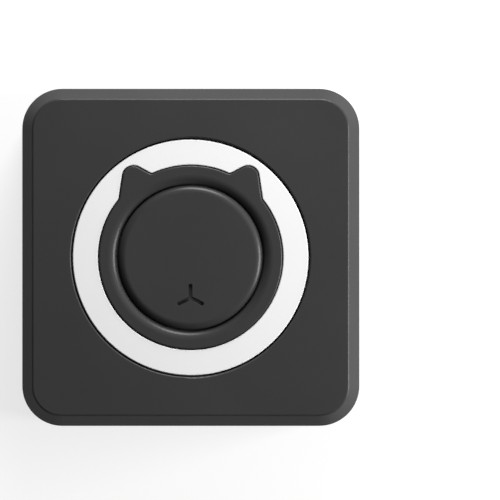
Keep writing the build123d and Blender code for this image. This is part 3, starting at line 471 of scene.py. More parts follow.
@dataclass(frozen=True)
class Bench:
    """What one material is built on, with the surface point that its effects take."""

    graph: Graph
    shader: Node
    effects: Effects
    place: NodeSocket

    def use(self, tree: NodeTree, **inputs: object) -> Node:
        """Places a shared effect in the material, at the surface point.

        Args:
            tree: the effect's node group.
            inputs: its other inputs by name.

        Returns:
            The group's node.
        """
        node = self.graph.tree.nodes.new("ShaderNodeGroup")
        node.node_tree = tree
        self.graph.tree.links.new(self.place, node.inputs["Place"])
        for name, value in inputs.items():
            node.inputs[name].default_value = value
        return node


@dataclass(frozen=True)
class Finish:
    """Look of one material slot.

    The base finish is a moulded plastic: tone drift, mould grain and rubbed edges.
    """

    slot: str
    title: str
    colour: Triple
    roughness: float = 0.6
    specular: float = 0.3
    drift: float = 0.05
    grain: float = 0.25
    grain_scale: float = 5200.0
    edge_colour: Triple = (0.16, 0.16, 0.165)
    edge_amount: float = 0.25
    sheen: float = 0.0
    tone_scale: float = 40.0
    smoother: float = 0.05
    rougher: float = 0.05
    depth: float = 0.06 * MM

    def build(self, effects: Effects) -> Material:
        """Makes the material.

        Args:
            effects: the shared shader effects.

        Returns:
            The material, named after the finish.
        """
        material = bpy.data.materials.new(self.title)
        material.use_nodes = True
        shader = material.node_tree.nodes["Principled BSDF"]
        graph = Graph(material.node_tree)
        shader.inputs["Specular IOR Level"].default_value = self.specular
        shader.inputs["Coat Weight"].default_value = self.sheen
        shader.inputs["Coat IOR"].default_value = SHEEN_IOR
        shader.inputs["Coat Roughness"].default_value = SHEEN_ROUGHNESS
        self.dress(Bench(graph, shader, effects, graph.add("TexCoord").outputs["Object"]))
        return material

    def dress(self, bench: Bench) -> None:
        """Joins tone, mould grain and rubbed edges to the shader.

        Args:
            bench: what the material is built on.
        """
        grain = bench.use(bench.effects.grain, Scale=self.grain_scale)
        self.join(bench, self.worn(bench), grain.outputs["Mask"], grain.outputs["Height"])

    def tone(self, bench: Bench) -> NodeSocket:
        """The finish's colour with its slow drift."""
        return bench.use(bench.effects.tone, Colour=rgba(self.colour), Scale=self.tone_scale,
                         Amount=self.drift).outputs["Colour"]

    def worn(self, bench: Bench) -> NodeSocket:
        """The drifting colour with its edges rubbed to the edge colour."""
        wear = bench.use(bench.effects.wear, Amount=self.edge_amount)
        return bench.graph.blend(wear.outputs["Mask"], self.tone(bench), rgba(self.edge_colour))

    def join(self, bench: Bench, colour: NodeSocket, mask: NodeSocket,
             height: NodeSocket) -> None:
        """Links colour, roughness and bump to the shader.

        Args:
            bench: what the material is built on.
            colour: the surface's colour.
            mask: 0 where the surface is smoothest, 1 where it is roughest.
            height: height of the fine relief.
        """
        least, most = self.roughness - self.smoother, self.roughness + self.rougher
        rough = bench.graph.ramp(mask, 0.0, 1.0, least, most)
        relief = {"Height": height, "Strength": self.grain, "Distance": self.depth}
        bump = bench.graph.add("Bump", relief).outputs[0]
        for name, socket in {"Base Color": colour, "Roughness": rough, "Normal": bump}.items():
            bench.graph.tree.links.new(socket, bench.shader.inputs[name])


@dataclass(frozen=True)
class Metal(Finish):
    """Bare or plated metal with drawn lines along one axis."""

    roughness: float = 0.32
    edge_colour: Triple = (0.8, 0.8, 0.8)
    edge_amount: float = 0.4
    tone_scale: float = 120.0
    smoother: float = 0.08
    rougher: float = 0.1
    depth: float = 0.03 * MM
    stretch: Triple = (80.0, 3500.0, 3500.0)

    def dress(self, bench: Bench) -> None:
        """Joins tone, drawn lines and bright edges to a metallic shader.

        Args:
            bench: what the material is built on.
        """
        bench.shader.inputs["Metallic"].default_value = 1.0
        lines = bench.use(bench.effects.brush, Stretch=self.stretch)
        self.join(bench, self.worn(bench), lines.outputs["Mask"], lines.outputs["Height"])


@dataclass(frozen=True)
class Patterned(Finish):
    """Surface that shows a pattern in a second colour over its own."""

    tone_scale: float = 90.0
    smoother: float = 0.06
    rougher: float = 0.06
    depth: float = 0.1 * MM
    second: Triple = (0.2, 0.2, 0.2)

    def lay(self, bench: Bench, pattern: Node, bumps: Node) -> None:
        """Joins the pattern's colour and the bumps' height to the shader.

        Args:
            bench: what the material is built on.
            pattern: effect whose mask is 1 where the second colour is.
            bumps: effect that gives the height.
        """
        grain = bench.use(bench.effects.grain, Scale=self.grain_scale)
        both = bench.graph.blend(pattern.outputs["Mask"], self.tone(bench), rgba(self.second))
        self.join(bench, both, grain.outputs["Mask"], bumps.outputs["Height"])


@dataclass(frozen=True)
class Striped(Patterned):
    """Plastic or film with even conductor stripes, such as a ribbon or a flat cable."""

    axis: Triple = (1.0, 0.0, 0.0)
    pitch: float = 0.6 * MM
    duty: float = 0.55

    def dress(self, bench: Bench) -> None:
        """Lays the stripes, which also stand out of the surface."""
        stripes = bench.use(bench.effects.stripes, Axis=self.axis, Pitch=self.pitch, Duty=self.duty)
        self.lay(bench, stripes, stripes)


@dataclass(frozen=True)
class Speckled(Patterned):
    """Ground rubber, ceramic or moulded resin: fine specks of a second colour."""

    speck_scale: float = 2600.0
    speck_share: float = 0.25

    def dress(self, bench: Bench) -> None:
        """Lays the specks over the mould grain."""
        specks = bench.use(bench.effects.specks, Scale=self.speck_scale, Share=self.speck_share)
        self.lay(bench, specks, bench.use(bench.effects.grain, Scale=self.grain_scale))


@dataclass(frozen=True)
class Clear(Finish):
    """Clear moulded plastic with faint flow marks."""

    tone_scale: float = 200.0
    smoother: float = 0.0
    rougher: float = 0.08
    depth: float = 0.03 * MM

    def dress(self, bench: Bench) -> None:
        """Sets full transmission and joins the faint grain to the shader.

        Args:
            bench: what the material is built on.
        """
        bench.shader.inputs["Transmission Weight"].default_value = 1.0
        grain = bench.use(bench.effects.grain, Scale=self.grain_scale)
        self.join(bench, self.tone(bench), grain.outputs["Mask"], grain.outputs["Height"])


FINISHES: tuple[Finish, ...] = (
    Finish("case_black", "Housing plastic, matt black", (0.044, 0.044, 0.045), 0.7, 0.0, sheen=0.13),
    Finish("cover_black", "Cover plastic, matt black", (0.044, 0.044, 0.045), 0.7, 0.0, sheen=0.13),
    Finish("ring_white", "Ring plastic, satin white", (0.89, 0.89, 0.89), 0.45, 0.4, 0.015, 0.08,
           edge_colour=(0.8, 0.8, 0.78), edge_amount=0.1),
    Finish("disc_black", "Disc plastic, matt black", (0.044, 0.044, 0.045), 0.7, 0.0, sheen=0.15),
    Finish("key_black", "Key plastic, satin black", (0.036, 0.036, 0.038), 0.6, 0.0, sheen=0.15),
    Finish("tray_black", "Tray plastic, black", (0.03, 0.03, 0.032), 0.48, 0.4, grain_scale=2600.0),
    Finish("frame_grey", "Chassis plastic, grey", (0.15, 0.15, 0.16), 0.55, 0.4, 0.1, 0.4, 3400.0,
           (0.25, 0.25, 0.26)),
    Speckled("foot_rubber", "Foot rubber", (0.03, 0.03, 0.03), 0.85, 0.2, second=(0.05, 0.05, 0.05)),
    Speckled("platen_rubber", "Roller rubber", (0.05, 0.05, 0.055), 0.75, 0.3, grain=0.5, grain_scale=9000.0,
             second=(0.08, 0.08, 0.085)),
    Metal("screw_steel", "Screw steel, zinc plated", (0.55, 0.55, 0.57), stretch=(2500.0, 2500.0, 400.0)),
    Metal("shaft_steel", "Shaft steel, ground", (0.66, 0.66, 0.67), 0.24),
    Metal("spring_steel", "Spring wire", (0.5, 0.5, 0.5), 0.3, stretch=(3000.0, 3000.0, 3000.0)),
    Finish("gear_white", "Gear acetal, natural", (0.78, 0.76, 0.7), 0.42, 0.4, 0.03, 0.15,
           edge_colour=(0.86, 0.85, 0.8)),
    Metal("brass", "Brass, turned", (0.72, 0.53, 0.24), 0.28, edge_colour=(0.85, 0.7, 0.4),
          stretch=(4000.0, 900.0, 900.0)),
    Metal("motor_zinc", "Motor can, plated", (0.56, 0.57, 0.58), 0.36, stretch=(60.0, 2600.0, 2600.0)),
    Metal("head_aluminium", "Heat sink, bare aluminium", (0.72, 0.72, 0.73), 0.42, grain=0.4),
    Speckled("head_ceramic", "Head ceramic, glazed", (0.66, 0.64, 0.58), 0.28, 0.5,
             second=(0.56, 0.54, 0.49), speck_share=0.12, grain=0.08),
    Speckled("head_resin", "Driver resin, dark", (0.02, 0.02, 0.02), 0.3, 0.5, second=(0.05, 0.05, 0.05)),
    Striped("flex_amber", "Flat cable film, amber", (0.62, 0.32, 0.07), 0.32, 0.5,
            second=(0.42, 0.19, 0.05), pitch=0.9 * MM),
    Finish("bush_black", "Bush acetal, black", (0.05, 0.05, 0.05), 0.4, 0.4),
    Finish("board_green", "Circuit board, green mask", (0.03, 0.17, 0.075), 0.33, 0.5, 0.12, 0.3, 2400.0,
           (0.3, 0.27, 0.14), 0.5),
    Speckled("chip_black", "Chip body, black", (0.022, 0.022, 0.024), 0.6, 0.3, speck_share=0.1,
             second=(0.06, 0.06, 0.06)),
    Metal("shield_tin", "Shield can, tinned", (0.68, 0.68, 0.66), 0.38, stretch=(90.0, 2600.0, 2600.0)),
    Speckled("capacitor_tan", "Capacitor ceramic, tan", (0.5, 0.37, 0.23), 0.5, 0.4,
             second=(0.4, 0.28, 0.16)),
    Finish("plug_white", "Plug nylon, white", (0.8, 0.79, 0.74), 0.5, 0.4, 0.04, 0.12,
           edge_colour=(0.85, 0.84, 0.8)),
    Metal("port_steel", "Socket shell, plated", (0.68, 0.68, 0.69), 0.3, stretch=(80.0, 3000.0, 3000.0)),
    Clear("light_clear", "Light window, clear", (0.93, 0.95, 0.97), 0.08, 0.5, 0.02, 0.1),
    Finish("led_white", "Light body, pale resin", (0.85, 0.84, 0.75), 0.3, 0.5, 0.05, 0.1,
           edge_colour=(0.8, 0.78, 0.6)),
    Finish("cell_silver", "Cell pouch, silver foil", (0.52, 0.53, 0.56), 0.38, 0.6, 0.08, 0.5, 700.0,
           (0.7, 0.7, 0.72), 0.4),
    Finish("lead_red", "Lead insulation, red", (0.55, 0.025, 0.02), 0.42, 0.4),
    Finish("lead_black", "Lead insulation, black", (0.022, 0.022, 0.022), 0.42, 0.4),
    Striped("ribbon_grey", "Ribbon cable, grey", (0.4, 0.4, 0.42), 0.5, 0.35, second=(0.3, 0.3, 0.32),
            axis=(0.0, 1.0, 0.0), pitch=1.2 * MM, grain=0.6),
    Speckled("sensor_black", "Sensor resin, dark", (0.02, 0.02, 0.028), 0.25, 0.5, second=(0.04, 0.04, 0.05)),
)


class Palette:
    """Materials of all slots, each built once."""

    def __init__(self) -> None:
        """Builds the shared effects and every finish's material."""
        effects = Effects()
        self.materials = {finish.slot: finish.build(effects) for finish in FINISHES}
        self.slots = {part["node"]: part["material_slot"] for part in frame["record"]["subparts"]}

    def dress(self, node: str) -> None:
        """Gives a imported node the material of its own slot.

        Args:
            node: the node's name.
        """
        mesh = frame["nodes"][node].data
        mesh.materials.clear()
        mesh.materials.append(self.materials[self.slots[node]])

    def piece(self, name: str, patches: list[Patch], slot: str, body: str) -> Object:
        """Makes a fine piece that rides on a body.

        Args:
            name: the piece's name.
            patches: its closed surfaces.
            slot: the material slot that it takes its finish from.
            body: the body that it rides on.

        Returns:
            The new object.
        """
        points = np.vstack([patch.points for patch in patches])
        starts = np.cumsum([0] + [len(patch.points) for patch in patches])
        faces = [[start + n for n in face] for start, patch in zip(starts, patches) for face in patch.faces]
        mesh = bpy.data.meshes.new(name)
        mesh.from_pydata(points.tolist(), [], faces)
        mesh.polygons.foreach_set("use_smooth", np.ones(len(faces), dtype=bool))
        mesh.materials.append(self.materials[slot])
        made = bpy.data.objects.new(name, mesh)
        bpy.context.scene.collection.objects.link(made)
        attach(made, body)
        log.info("built %s from %d parts", name, len(patches))
        return made


@dataclass
class SubAssembly:
    """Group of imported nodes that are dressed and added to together."""

    palette: Palette
    nodes: tuple[str, ...] = ()

    def build(self) -> None:
        """Dresses every node of the group."""
        for node in self.nodes:
            self.palette.dress(node)
            log.info("dressed %s", node)


@dataclass
class FrontFace(SubAssembly):
    """Cover with its pale ring and face disc."""

    nodes: tuple[str, ...] = ("cover_shell", "front_ring", "face_disc")


@dataclass
class RearCase(SubAssembly):
    """Rear case, its feet, its screws and the hinge pins."""

    nodes: tuple[str, ...] = ("rear_case", "rubber_feet", "case_screws", "hinge_pins")
    foot_radius: float = 4.0 * MM
    foot_hub: float = 0.02 * MM
    tread_pitch: float = 1.0 * MM
    tread_depth: float = 0.25 * MM
    rim_round: float = 0.35 * MM
    sole_points: int = 60
    rim_points: int = 7

    def build(self) -> None:
        """Dresses the nodes and gives the feet their tread."""
        super().build()
        self.make_feet()

    def make_feet(self) -> None:
        """Four feet with round grooves underneath.

        The sole is at half the tread depth x (1 - cos(2 pi (sole's end - r) / pitch)), and the rim is a
        quarter circle.
        """
        low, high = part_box("rubber_feet")
        sole_end = self.foot_radius - self.rim_round
        r = np.linspace(self.foot_hub, sole_end, self.sole_points)
        groove = self.tread_depth / 2 * (1.0 - np.cos(FULL_TURN * (sole_end - r) / self.tread_pitch))
        turn = np.linspace(0.0, math.pi / 2, self.rim_points)[1:]
        radii = np.concatenate([r, sole_end + self.rim_round * np.sin(turn), [self.foot_radius]])
        heights = np.concatenate([groove, self.rim_round * (1.0 - np.cos(turn)), [high.z - low.z]])
        columns = (low.x + self.foot_radius, high.x - self.foot_radius)
        rows = (low.y + self.foot_radius, high.y - self.foot_radius)
        soles = [lathe((x, y, low.z), radii, heights) for x in columns for y in rows]
        feet = self.palette.piece("feet_with_tread", soles, "foot_rubber", "base")
        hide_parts("rubber_feet")


@dataclass
class PaperBay(SubAssembly):
    """Tray that holds the paper roll, with the low ribs that the roll turns on."""

    nodes: tuple[str, ...] = ("paper_tray",)
    bay_radius: float = 16.5 * MM
    wall: float = 1.5 * MM
    bay_middle_y: float = -8.0 * MM
    rib_places: tuple[float, ...] = (-21.0 * MM, -7.0 * MM, 7.0 * MM, 21.0 * MM)
    rib: Rib = Rib(0.45 * MM, 0.4 * MM, taper=12.0, points=49)
    rib_reach_degrees: float = 78.0

    def build(self) -> None:
        """Dresses the tray and lays the ribs round the trough."""
        super().build()
        middle_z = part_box("paper_tray")[0].z + self.wall + self.bay_radius
        reach = self.rib_reach_degrees
        turn = np.radians(np.linspace(-reach, reach, self.rib.points))
        inward = np.stack([np.zeros_like(turn), -np.sin(turn), np.cos(turn)], axis=-1)
        middles = [np.array([x, self.bay_middle_y, middle_z]) for x in self.rib_places]
        ribs = [ridge(middle - self.bay_radius * inward, RIGHT, inward, self.rib) for middle in middles]
        self.palette.piece("bay_ribs", ribs, "tray_black", "base")


@dataclass
class CoverInside(SubAssembly):
    """What is screwed to the inside of the cover, and the ribs that stiffen its roof."""

    nodes: tuple[str, ...] = ("platen_bracket", "cover_screws", "tear_bar", "latch_hook", "platen_bushes")
    rib_places: tuple[float, ...] = (-24.0 * MM, -12.0 * MM, 0.0, 12.0 * MM, 24.0 * MM)
    rib_ends: tuple[float, float] = (-27.0 * MM, 20.0 * MM)
    rib: Rib = Rib(0.5 * MM, 0.55 * MM, taper=24.0, points=41)
    leg_thickness: float = 1.4 * MM
    nose_depth: float = 1.7 * MM
    nose_height: float = 2.1 * MM
    nose_top: float = 21.7 * MM
    nose_points: int = 12
    nose_edge: float = 0.05 * MM
    ledge_edge: float = 0.02 * MM
    stem_start: float = 0.5 * MM
    stem_end_gap: float = 0.01 * MM
    stem_points: int = 20
    tip_heights: tuple[float, ...] = (0.0, 0.02 * MM, 0.08 * MM, 0.2 * MM)
    tip_insets: tuple[float, ...] = (0.25 * MM, 0.16 * MM, 0.07 * MM, 0.0)
    foot_thickness: float = 1.6 * MM
    foot_rings: int = 9
    corner_power: float = 0.12
    around: int = 48
    push: float = 1.35 * MM
    push_reach: float = 60.0 * MM

    def build(self) -> None:
        """Dresses the nodes, and adds the roof's ribs and the springy hook."""
        super().build()
        self.make_ribs()
        self.make_hook()

    def make_hook(self) -> None:
        """Hook that snaps under the rear part's ledge, made in one shape.

        The leg is a stack of rounded oblongs. Its outer side is at x - nose_depth t(z), where t rises evenly
        from 0 to 1 over the nose's height and drops back to 0 above the nose's flat top.
        """
        low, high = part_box("latch_hook")
        middle_y = (low.y + high.y) / 2
        half_y = (high.y - low.y) / 2
        outer = low.x + self.nose_depth
        inner = outer + self.leg_thickness
        flat = self.nose_top
        z = np.concatenate([
            low.z + np.array(self.tip_heights),
            np.linspace(flat - self.nose_height, flat - self.nose_edge, self.nose_points),
            [flat, flat + self.ledge_edge],
            np.linspace(flat + self.stem_start, high.z - self.stem_end_gap, self.stem_points),
        ])
        rise = np.clip((z - flat + self.nose_height) / self.nose_height, 0.0, 1.0) * (z <= flat)
        inset = np.zeros_like(z)
        inset[:len(self.tip_insets)] = self.tip_insets
        left = outer - self.nose_depth * rise + inset
        right = inner - inset
        c, s = squarish(circle(self.around)[None, :], self.corner_power)
        centre_x = ((left + right) / 2)[:, None]
        rings = np.stack([
            centre_x + ((right - left) / 2)[:, None] * c,
            middle_y + (half_y - inset[:, None]) * s,
            z[:, None] * np.ones_like(c),
        ], axis=-1)
        ends = [np.array([centre_x[n, 0], middle_y, z[n]]) for n in (0, -1)]
        leg = self.palette.piece("hook_leg", [rings_to_patch(rings, ends[0], ends[1])], "key_black", "cover")
        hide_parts("latch_hook")
        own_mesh(leg)
        centre = ((outer + high.x) / 2, middle_y, high.z - self.foot_thickness / 2)
        half = ((high.x - outer) / 2, half_y, self.foot_thickness / 2)
        block = pebble(centre, half, self.corner_power, self.foot_rings, self.around)
        foot = self.palette.piece("hook_foot", [block], "key_black", "cover")
        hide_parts("latch_hook")

    def make_ribs(self) -> None:
        """Ribs along the underside of the roof."""
        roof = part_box("latch_hook")[1].z
        ribs = [straight_rib(x, self.rib_ends, roof, -UP, self.rib) for x in self.rib_places]
        self.palette.piece("roof_ribs", ribs, "cover_black", "cover")


@dataclass
class Platen(SubAssembly):
    """Roller that carries the paper."""

    nodes: tuple[str, ...] = ("platen_shaft", "platen_rubber", "platen_gear")


@dataclass
class Mechanism(SubAssembly):
    """Print chassis, head, springs, motor and gears."""

    nodes: tuple[str, ...] = (
        "mech_frame", "mech_screws", "head_springs", "head_flex", "head_pivot_shaft", "paper_sensor",
        "idler_stud", "motor_body", "motor_screws", "motor_leads", "idler_gear", "motor_pinion",
        "motor_shaft", "head_heatsink", "head_substrate", "head_driver",
    )
    line: Rib = Rib(0.45 * MM, 0.035 * MM, taper=60.0, points=65)
    end_gap: float = 1.0 * MM
    lens_radius: float = 0.38 * MM
    lens_height: float = 0.14 * MM
    lens_spread: float = 1.1
    spring_wire: float = 0.5 * MM
    spring_turns: int = 5
    spring_pitch: float = 18.0 * MM
    flat_turns: float = 0.75
    spring_travel: float = 0.7 * MM
    turn_points: int = 36
    wire_around: int = 12
    guide_top: float = 25.4 * MM
    guide_ends: tuple[float, float] = (15.2 * MM, 27.9 * MM)
    guide_rib: Rib = Rib(0.4 * MM, 0.3 * MM, taper=16.0, points=33)
    guide_rib_pitch: float = 6.0 * MM
    guide_rib_count: int = 9
    sensor_room: float = 2.4 * MM

    def build(self) -> None:
        """Dresses the nodes, and adds the springs, the guide's ribs, the heating line and the lenses."""
        super().build()
        self.make_springs()
        self.make_guide_ribs()
        self.make_line()
        self.make_lenses()

    def make_springs(self) -> None:
        """Three coil springs with closed end turns, made in one shape.

        The wire's middle is (R cos a, R sin a, H e(a)), where e stays at 0 over the first flat turns and at 1
        over the last ones, and rises evenly between them. The wire is a circle across that line.
        """
        low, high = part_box("head_springs")
        wire = self.spring_wire / 2
        radius = (high.y - low.y) / 2 - wire
        lift = high.z - low.z - 2 * wire
        turn = np.linspace(0.0, self.spring_turns, self.turn_points * self.spring_turns + 1)
        a = FULL_TURN * turn
        rise = np.clip((turn - self.flat_turns) / (self.spring_turns - 2 * self.flat_turns), 0.0, 1.0)
        line = np.stack([radius * np.cos(a), radius * np.sin(a), low.z + wire + lift * rise], axis=-1)
        along = np.gradient(line, axis=0)
        along /= np.linalg.norm(along, axis=1, keepdims=True)
        out = np.stack([np.cos(a), np.sin(a), np.zeros_like(a)], axis=-1)
        over = np.cross(along, out)
        v = circle(self.wire_around)[None, :, None]
        rings = line[:, None] + wire * (np.cos(v) * out[:, None] + np.sin(v) * over[:, None])
        middle_y = (low.y + high.y) / 2
        shifts = [np.array([x, middle_y, 0.0]) for x in (-self.spring_pitch, 0.0, self.spring_pitch)]
        springs = [rings_to_patch(rings + shift, line[0] + shift, line[-1] + shift) for shift in shifts]
        wound = self.palette.piece("head_springs_wound", springs, "spring_steel", "base")
        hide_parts("head_springs")
        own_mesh(wound)

    def make_guide_ribs(self) -> None:
        """Low ribs that the paper slides on, along the top of the paper guide on both sides of the sensor."""
        low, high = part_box("paper_sensor")
        sensor = (low.x + high.x) / 2
        first = -(self.guide_rib_count - 1) / 2 * self.guide_rib_pitch
        places = [first + n * self.guide_rib_pitch for n in range(self.guide_rib_count)]
        ribs = [straight_rib(x, self.guide_ends, self.guide_top, UP, self.guide_rib)
                for x in places if abs(x - sensor) > self.sensor_room]
        self.palette.piece("guide_ribs", ribs, "frame_grey", "base")

    def make_line(self) -> None:
        """Glazed line of heating dots along the head, right under the roller's middle."""
        low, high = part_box("head_substrate")
        roller_low, roller_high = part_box("platen_rubber")
        y = (roller_low.y + roller_high.y) / 2
        x = np.linspace(low.x + self.end_gap, high.x - self.end_gap, self.line.points)
        path = np.stack([x, np.full_like(x, y), np.full_like(x, high.z)], axis=-1)
        line = ridge(path, BACK, UP, self.line)
        self.palette.piece("heating_line", [line], "head_resin", "print_head")

    def make_lenses(self) -> None:
        """Lamp and eye of the paper sensor, side by side on its top."""
        low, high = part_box("paper_sensor")
        middle = (low + high) / 2
        half = (self.lens_radius, self.lens_radius, self.lens_height)
        aside = self.lens_spread * self.lens_radius
        lenses = [pebble((x, middle.y, high.z), half, power=0.9, rings=7, around=16)
                  for x in (middle.x - aside, middle.x + aside)]
        self.palette.piece("sensor_lenses", lenses, "light_clear", "base")


@dataclass
class Electronics(SubAssembly):
    """Boards, what is soldered to them, the cell and its leads."""

    nodes: tuple[str, ...] = (
        "tact_switch", "usb_shell", "usb_tongue", "status_led", "light_window", "main_board", "io_board",
        "board_screws", "board_chips", "rf_shield", "board_capacitors", "board_connectors", "io_ribbon",
        "battery_cell", "battery_lead_red", "battery_lead_black", "battery_plug",
    )
    contact_count: int = 12
    contact_pitch: float = 0.5 * MM
    contact_half: Triple = (1.9 * MM, 0.13 * MM, 0.03 * MM)
    contact_inset: float = 1.15
    part_half: Triple = (0.5 * MM, 0.28 * MM, 0.2 * MM)
    tin_share: Triple = (0.32, 1.04, 1.04)
    tin_offset: float = 0.8
    part_rows: tuple[tuple[float, float, int, float], ...] = (
        (-22.0 * MM, 37.8 * MM, 20, 2.3 * MM),
        (-2.0 * MM, 28.0 * MM, 9, 2.0 * MM),
        (-27.0 * MM, 19.5 * MM, 3, 2.0 * MM),
    )
    tape_half_width: float = 3.5 * MM
    tape_thickness: float = 0.06 * MM
    tape_inset: float = 2.2
    tape_power: float = 0.28
    tape_points: int = 96
    tape_around: int = 12

    def build(self) -> None:
        """Dresses the nodes, and adds the socket's contacts, the small parts and the cell's tape."""
        super().build()
        self.make_contacts()
        self.make_small_parts()
        self.make_tape()

    def make_contacts(self) -> None:
        """Two rows of contacts on the faces of the socket's tongue."""
        low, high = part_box("usb_tongue")
        middle = (low + high) / 2
        first = middle.y - (self.contact_count - 1) / 2 * self.contact_pitch
        x = high.x - self.contact_half[0] * self.contact_inset
        places = [(x, first + n * self.contact_pitch, z) for z in (low.z, high.z)
                  for n in range(self.contact_count)]
        contacts = [brick(place, self.contact_half) for place in places]
        self.palette.piece("socket_contacts", contacts, "brass", "base")

    def make_small_parts(self) -> None:
        """Rows of small resistors and capacitors on the main board, each with tinned ends."""
        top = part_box("main_board")[1].z
        places = [(start + n * pitch, y, top + self.part_half[2]) for start, y, count, pitch in self.part_rows
                  for n in range(count)]
        bodies = [brick(place, self.part_half) for place in places]
        tin_half = tuple(np.multiply(self.part_half, self.tin_share))
        aside = self.part_half[0] * self.tin_offset
        ends = [brick((x + side, y, z), tin_half) for x, y, z in places for side in (-aside, aside)]
        self.palette.piece("small_parts", bodies, "chip_black", "base")
        self.palette.piece("small_part_ends", ends, "shield_tin", "base")

    def make_tape(self) -> None:
        """Band of tape round the cell's right end: a flat oval carried once round the cell's outline.

        The outline is (a c(w), b s(w)) with c and s the cosine and sine raised to the tape's power with their
        sign kept.
        """
        low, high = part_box("battery_cell")
        middle = (low + high) / 2
        half = (high - low) / 2
        x = high.x - self.tape_inset * self.tape_half_width
        w = circle(self.tape_points)[:, None]
        v = circle(self.tape_around)[None, :]
        c, s = squarish(w, self.tape_power)
        grow = 1.0 + self.tape_thickness * (1.0 + np.sin(v)) / half.y
        rings = np.stack([
            x + self.tape_half_width * np.cos(v) * np.ones_like(w),
            middle.y + half.y * c * grow,
            middle.z + half.z * s * grow,
        ], axis=-1)
        self.palette.piece("cell_tape", [rings_to_patch(rings, None, None)], "flex_amber", "base")


@dataclass
class Keys(SubAssembly):
    """Power key with the switch's plunger, and the cover's release key."""

    nodes: tuple[str, ...] = ("power_button", "tact_plunger", "release_button")


@dataclass(frozen=True)
class Softbox:
    """Area lamp that looks at the printer's face.

    Its power is worked out so that white held square to it, at the face, comes out at `level`.
    """

    name: str
    direction: Triple
    distance: float
    side: float
    level: float

    def build(self, target: Vector) -> Object:
        """Makes the lamp.

        Args:
            target: point that the lamp looks at.

        Returns:
            The lamp's object.
        """
        lamp = bpy.data.lights.new(self.name, "AREA")
        lamp.shape = "SQUARE"
        lamp.size = self.side
        lamp.energy = self.level * math.pi**2 * self.distance**2
        made = bpy.data.objects.new(self.name, lamp)
        away = Vector(self.direction).normalized()
        made.location = target + away * self.distance
        made.rotation_mode = "QUATERNION"
        made.rotation_quaternion = away.to_track_quat("Z", "Y")
        made.visible_camera = False
        bpy.context.scene.collection.objects.link(made)
        return made


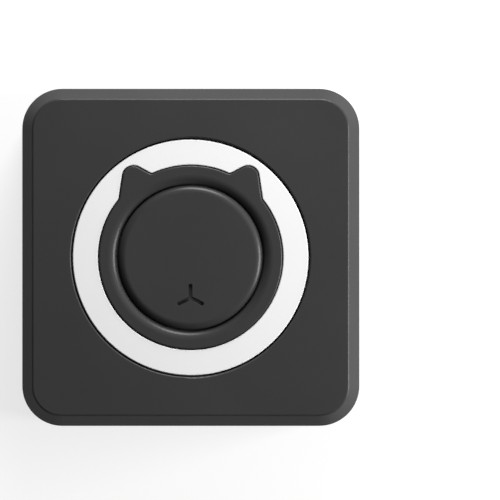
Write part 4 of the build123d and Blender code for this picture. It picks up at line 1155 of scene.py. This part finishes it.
@dataclass
class Studio:
    """Floor, lamps, sky and camera."""

    photo_width: float = 124.6 * MM
    camera_offset: tuple[float, float] = (14.75 * MM, 1.83 * MM)
    camera_distance: float = 1.6
    sensor_width: float = 36.0
    clip_start: float = 0.01
    clip_end: float = 20.0
    face_depth: float = 34.0 * MM
    floor_half: float = 6.0
    floor_colour: Triple = (0.3, 0.3, 0.3)
    floor_seen: Triple = (0.36, 0.36, 0.36)
    floor_glow: float = 0.74
    sky_level: float = 0.12
    lamps: tuple[Softbox, ...] = field(default_factory=lambda: (
        Softbox("Upper softbox", (0.17, 1.0, 0.33), 0.42, 0.22, 1.5),
        Softbox("Right softbox", (1.0, -0.08, 0.33), 0.42, 0.22, 1.5),
    ))

    def build(self) -> None:
        """Makes the whole studio."""
        self.make_floor()
        self.make_sky()
        face = Vector((0.0, 0.0, PACKED_BOX[1].z))
        for lamp in self.lamps:
            lamp.build(face)
        self.make_camera()
        log.info("studio: floor, sky, %d lamps, camera", len(self.lamps))

    def make_floor(self) -> None:
        """Flat pale floor under the feet, a grid from -half to half both ways at the lowest height."""
        low = PACKED_BOX[0].z
        side = np.array([-self.floor_half, self.floor_half])
        x, y = np.meshgrid(side, side, indexing="ij")
        points = np.stack([x, y, np.full_like(x, low)], axis=-1).reshape(-1, 3)
        mesh = bpy.data.meshes.new("floor")
        mesh.from_pydata(points.tolist(), [], [(0, 2, 3, 1)])
        floor = bpy.data.objects.new("floor", mesh)
        bpy.context.scene.collection.objects.link(floor)
        mesh.materials.append(self.floor_material())

    def floor_material(self) -> Material:
        """Makes a pale floor, white where it is looked at and dimmer as a reflector.

        Returns:
            The material.
        """
        material = bpy.data.materials.new("Studio floor")
        material.use_nodes = True
        graph = Graph(material.node_tree)
        shader = material.node_tree.nodes["Principled BSDF"]
        shader.inputs["Roughness"].default_value = 1.0
        shader.inputs["Specular IOR Level"].default_value = 0.0
        seen = self.looked_at(graph)
        colour = graph.blend(seen, rgba(self.floor_colour), rgba(self.floor_seen))
        material.node_tree.links.new(colour, shader.inputs["Base Color"])
        shader.inputs["Emission Color"].default_value = rgba(WHITE)
        glow = graph.maths("MULTIPLY", seen, self.floor_glow)
        material.node_tree.links.new(glow, shader.inputs["Emission Strength"])
        return material

    @staticmethod
    def looked_at(graph: Graph) -> NodeSocket:
        """Adds a mask that is 1 for camera, glossy and transmission rays.

        Args:
            graph: graph of the floor's material.

        Returns:
            The mask's output.
        """
        rays = graph.add("LightPath").outputs
        both = graph.maths("MAXIMUM", rays["Is Camera Ray"], rays["Is Glossy Ray"])
        return graph.maths("MAXIMUM", both, rays["Is Transmission Ray"])

    def make_sky(self) -> None:
        """Low even fill from all round."""
        world = bpy.data.worlds.new("Studio sky")
        bpy.context.scene.world = world
        world.use_nodes = True
        back = world.node_tree.nodes["Background"]
        back.inputs["Color"].default_value = rgba(WHITE)
        back.inputs["Strength"].default_value = self.sky_level

    def make_camera(self) -> None:
        """Camera that looks straight down on the face, as wide as the photograph."""
        lens = bpy.data.cameras.new("Camera")
        lens.sensor_width = self.sensor_width
        lens.lens = lens.sensor_width * self.camera_distance / self.photo_width
        lens.clip_start = self.clip_start
        lens.clip_end = self.clip_end
        camera = bpy.data.objects.new("Camera", lens)
        camera.location = (*self.camera_offset, self.face_depth + self.camera_distance)
        bpy.context.scene.collection.objects.link(camera)
        bpy.context.scene.camera = camera


class View(Enum):
    """Colour view that the pictures are made in."""

    PLAIN = "Standard"


def write_sizes() -> None:
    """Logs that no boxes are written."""
    log.info("sizes written")


def main() -> None:
    """Builds every sub-assembly in order, then the studio."""
    palette = Palette()
    for kind in (FrontFace, RearCase, PaperBay, CoverInside, Platen, Mechanism, Electronics, Keys):
        kind(palette).build()
    Studio().build()
    bpy.context.scene.view_settings.view_transform = View.PLAIN.value
    write_sizes()


if __name__ == "__main__":
    main()
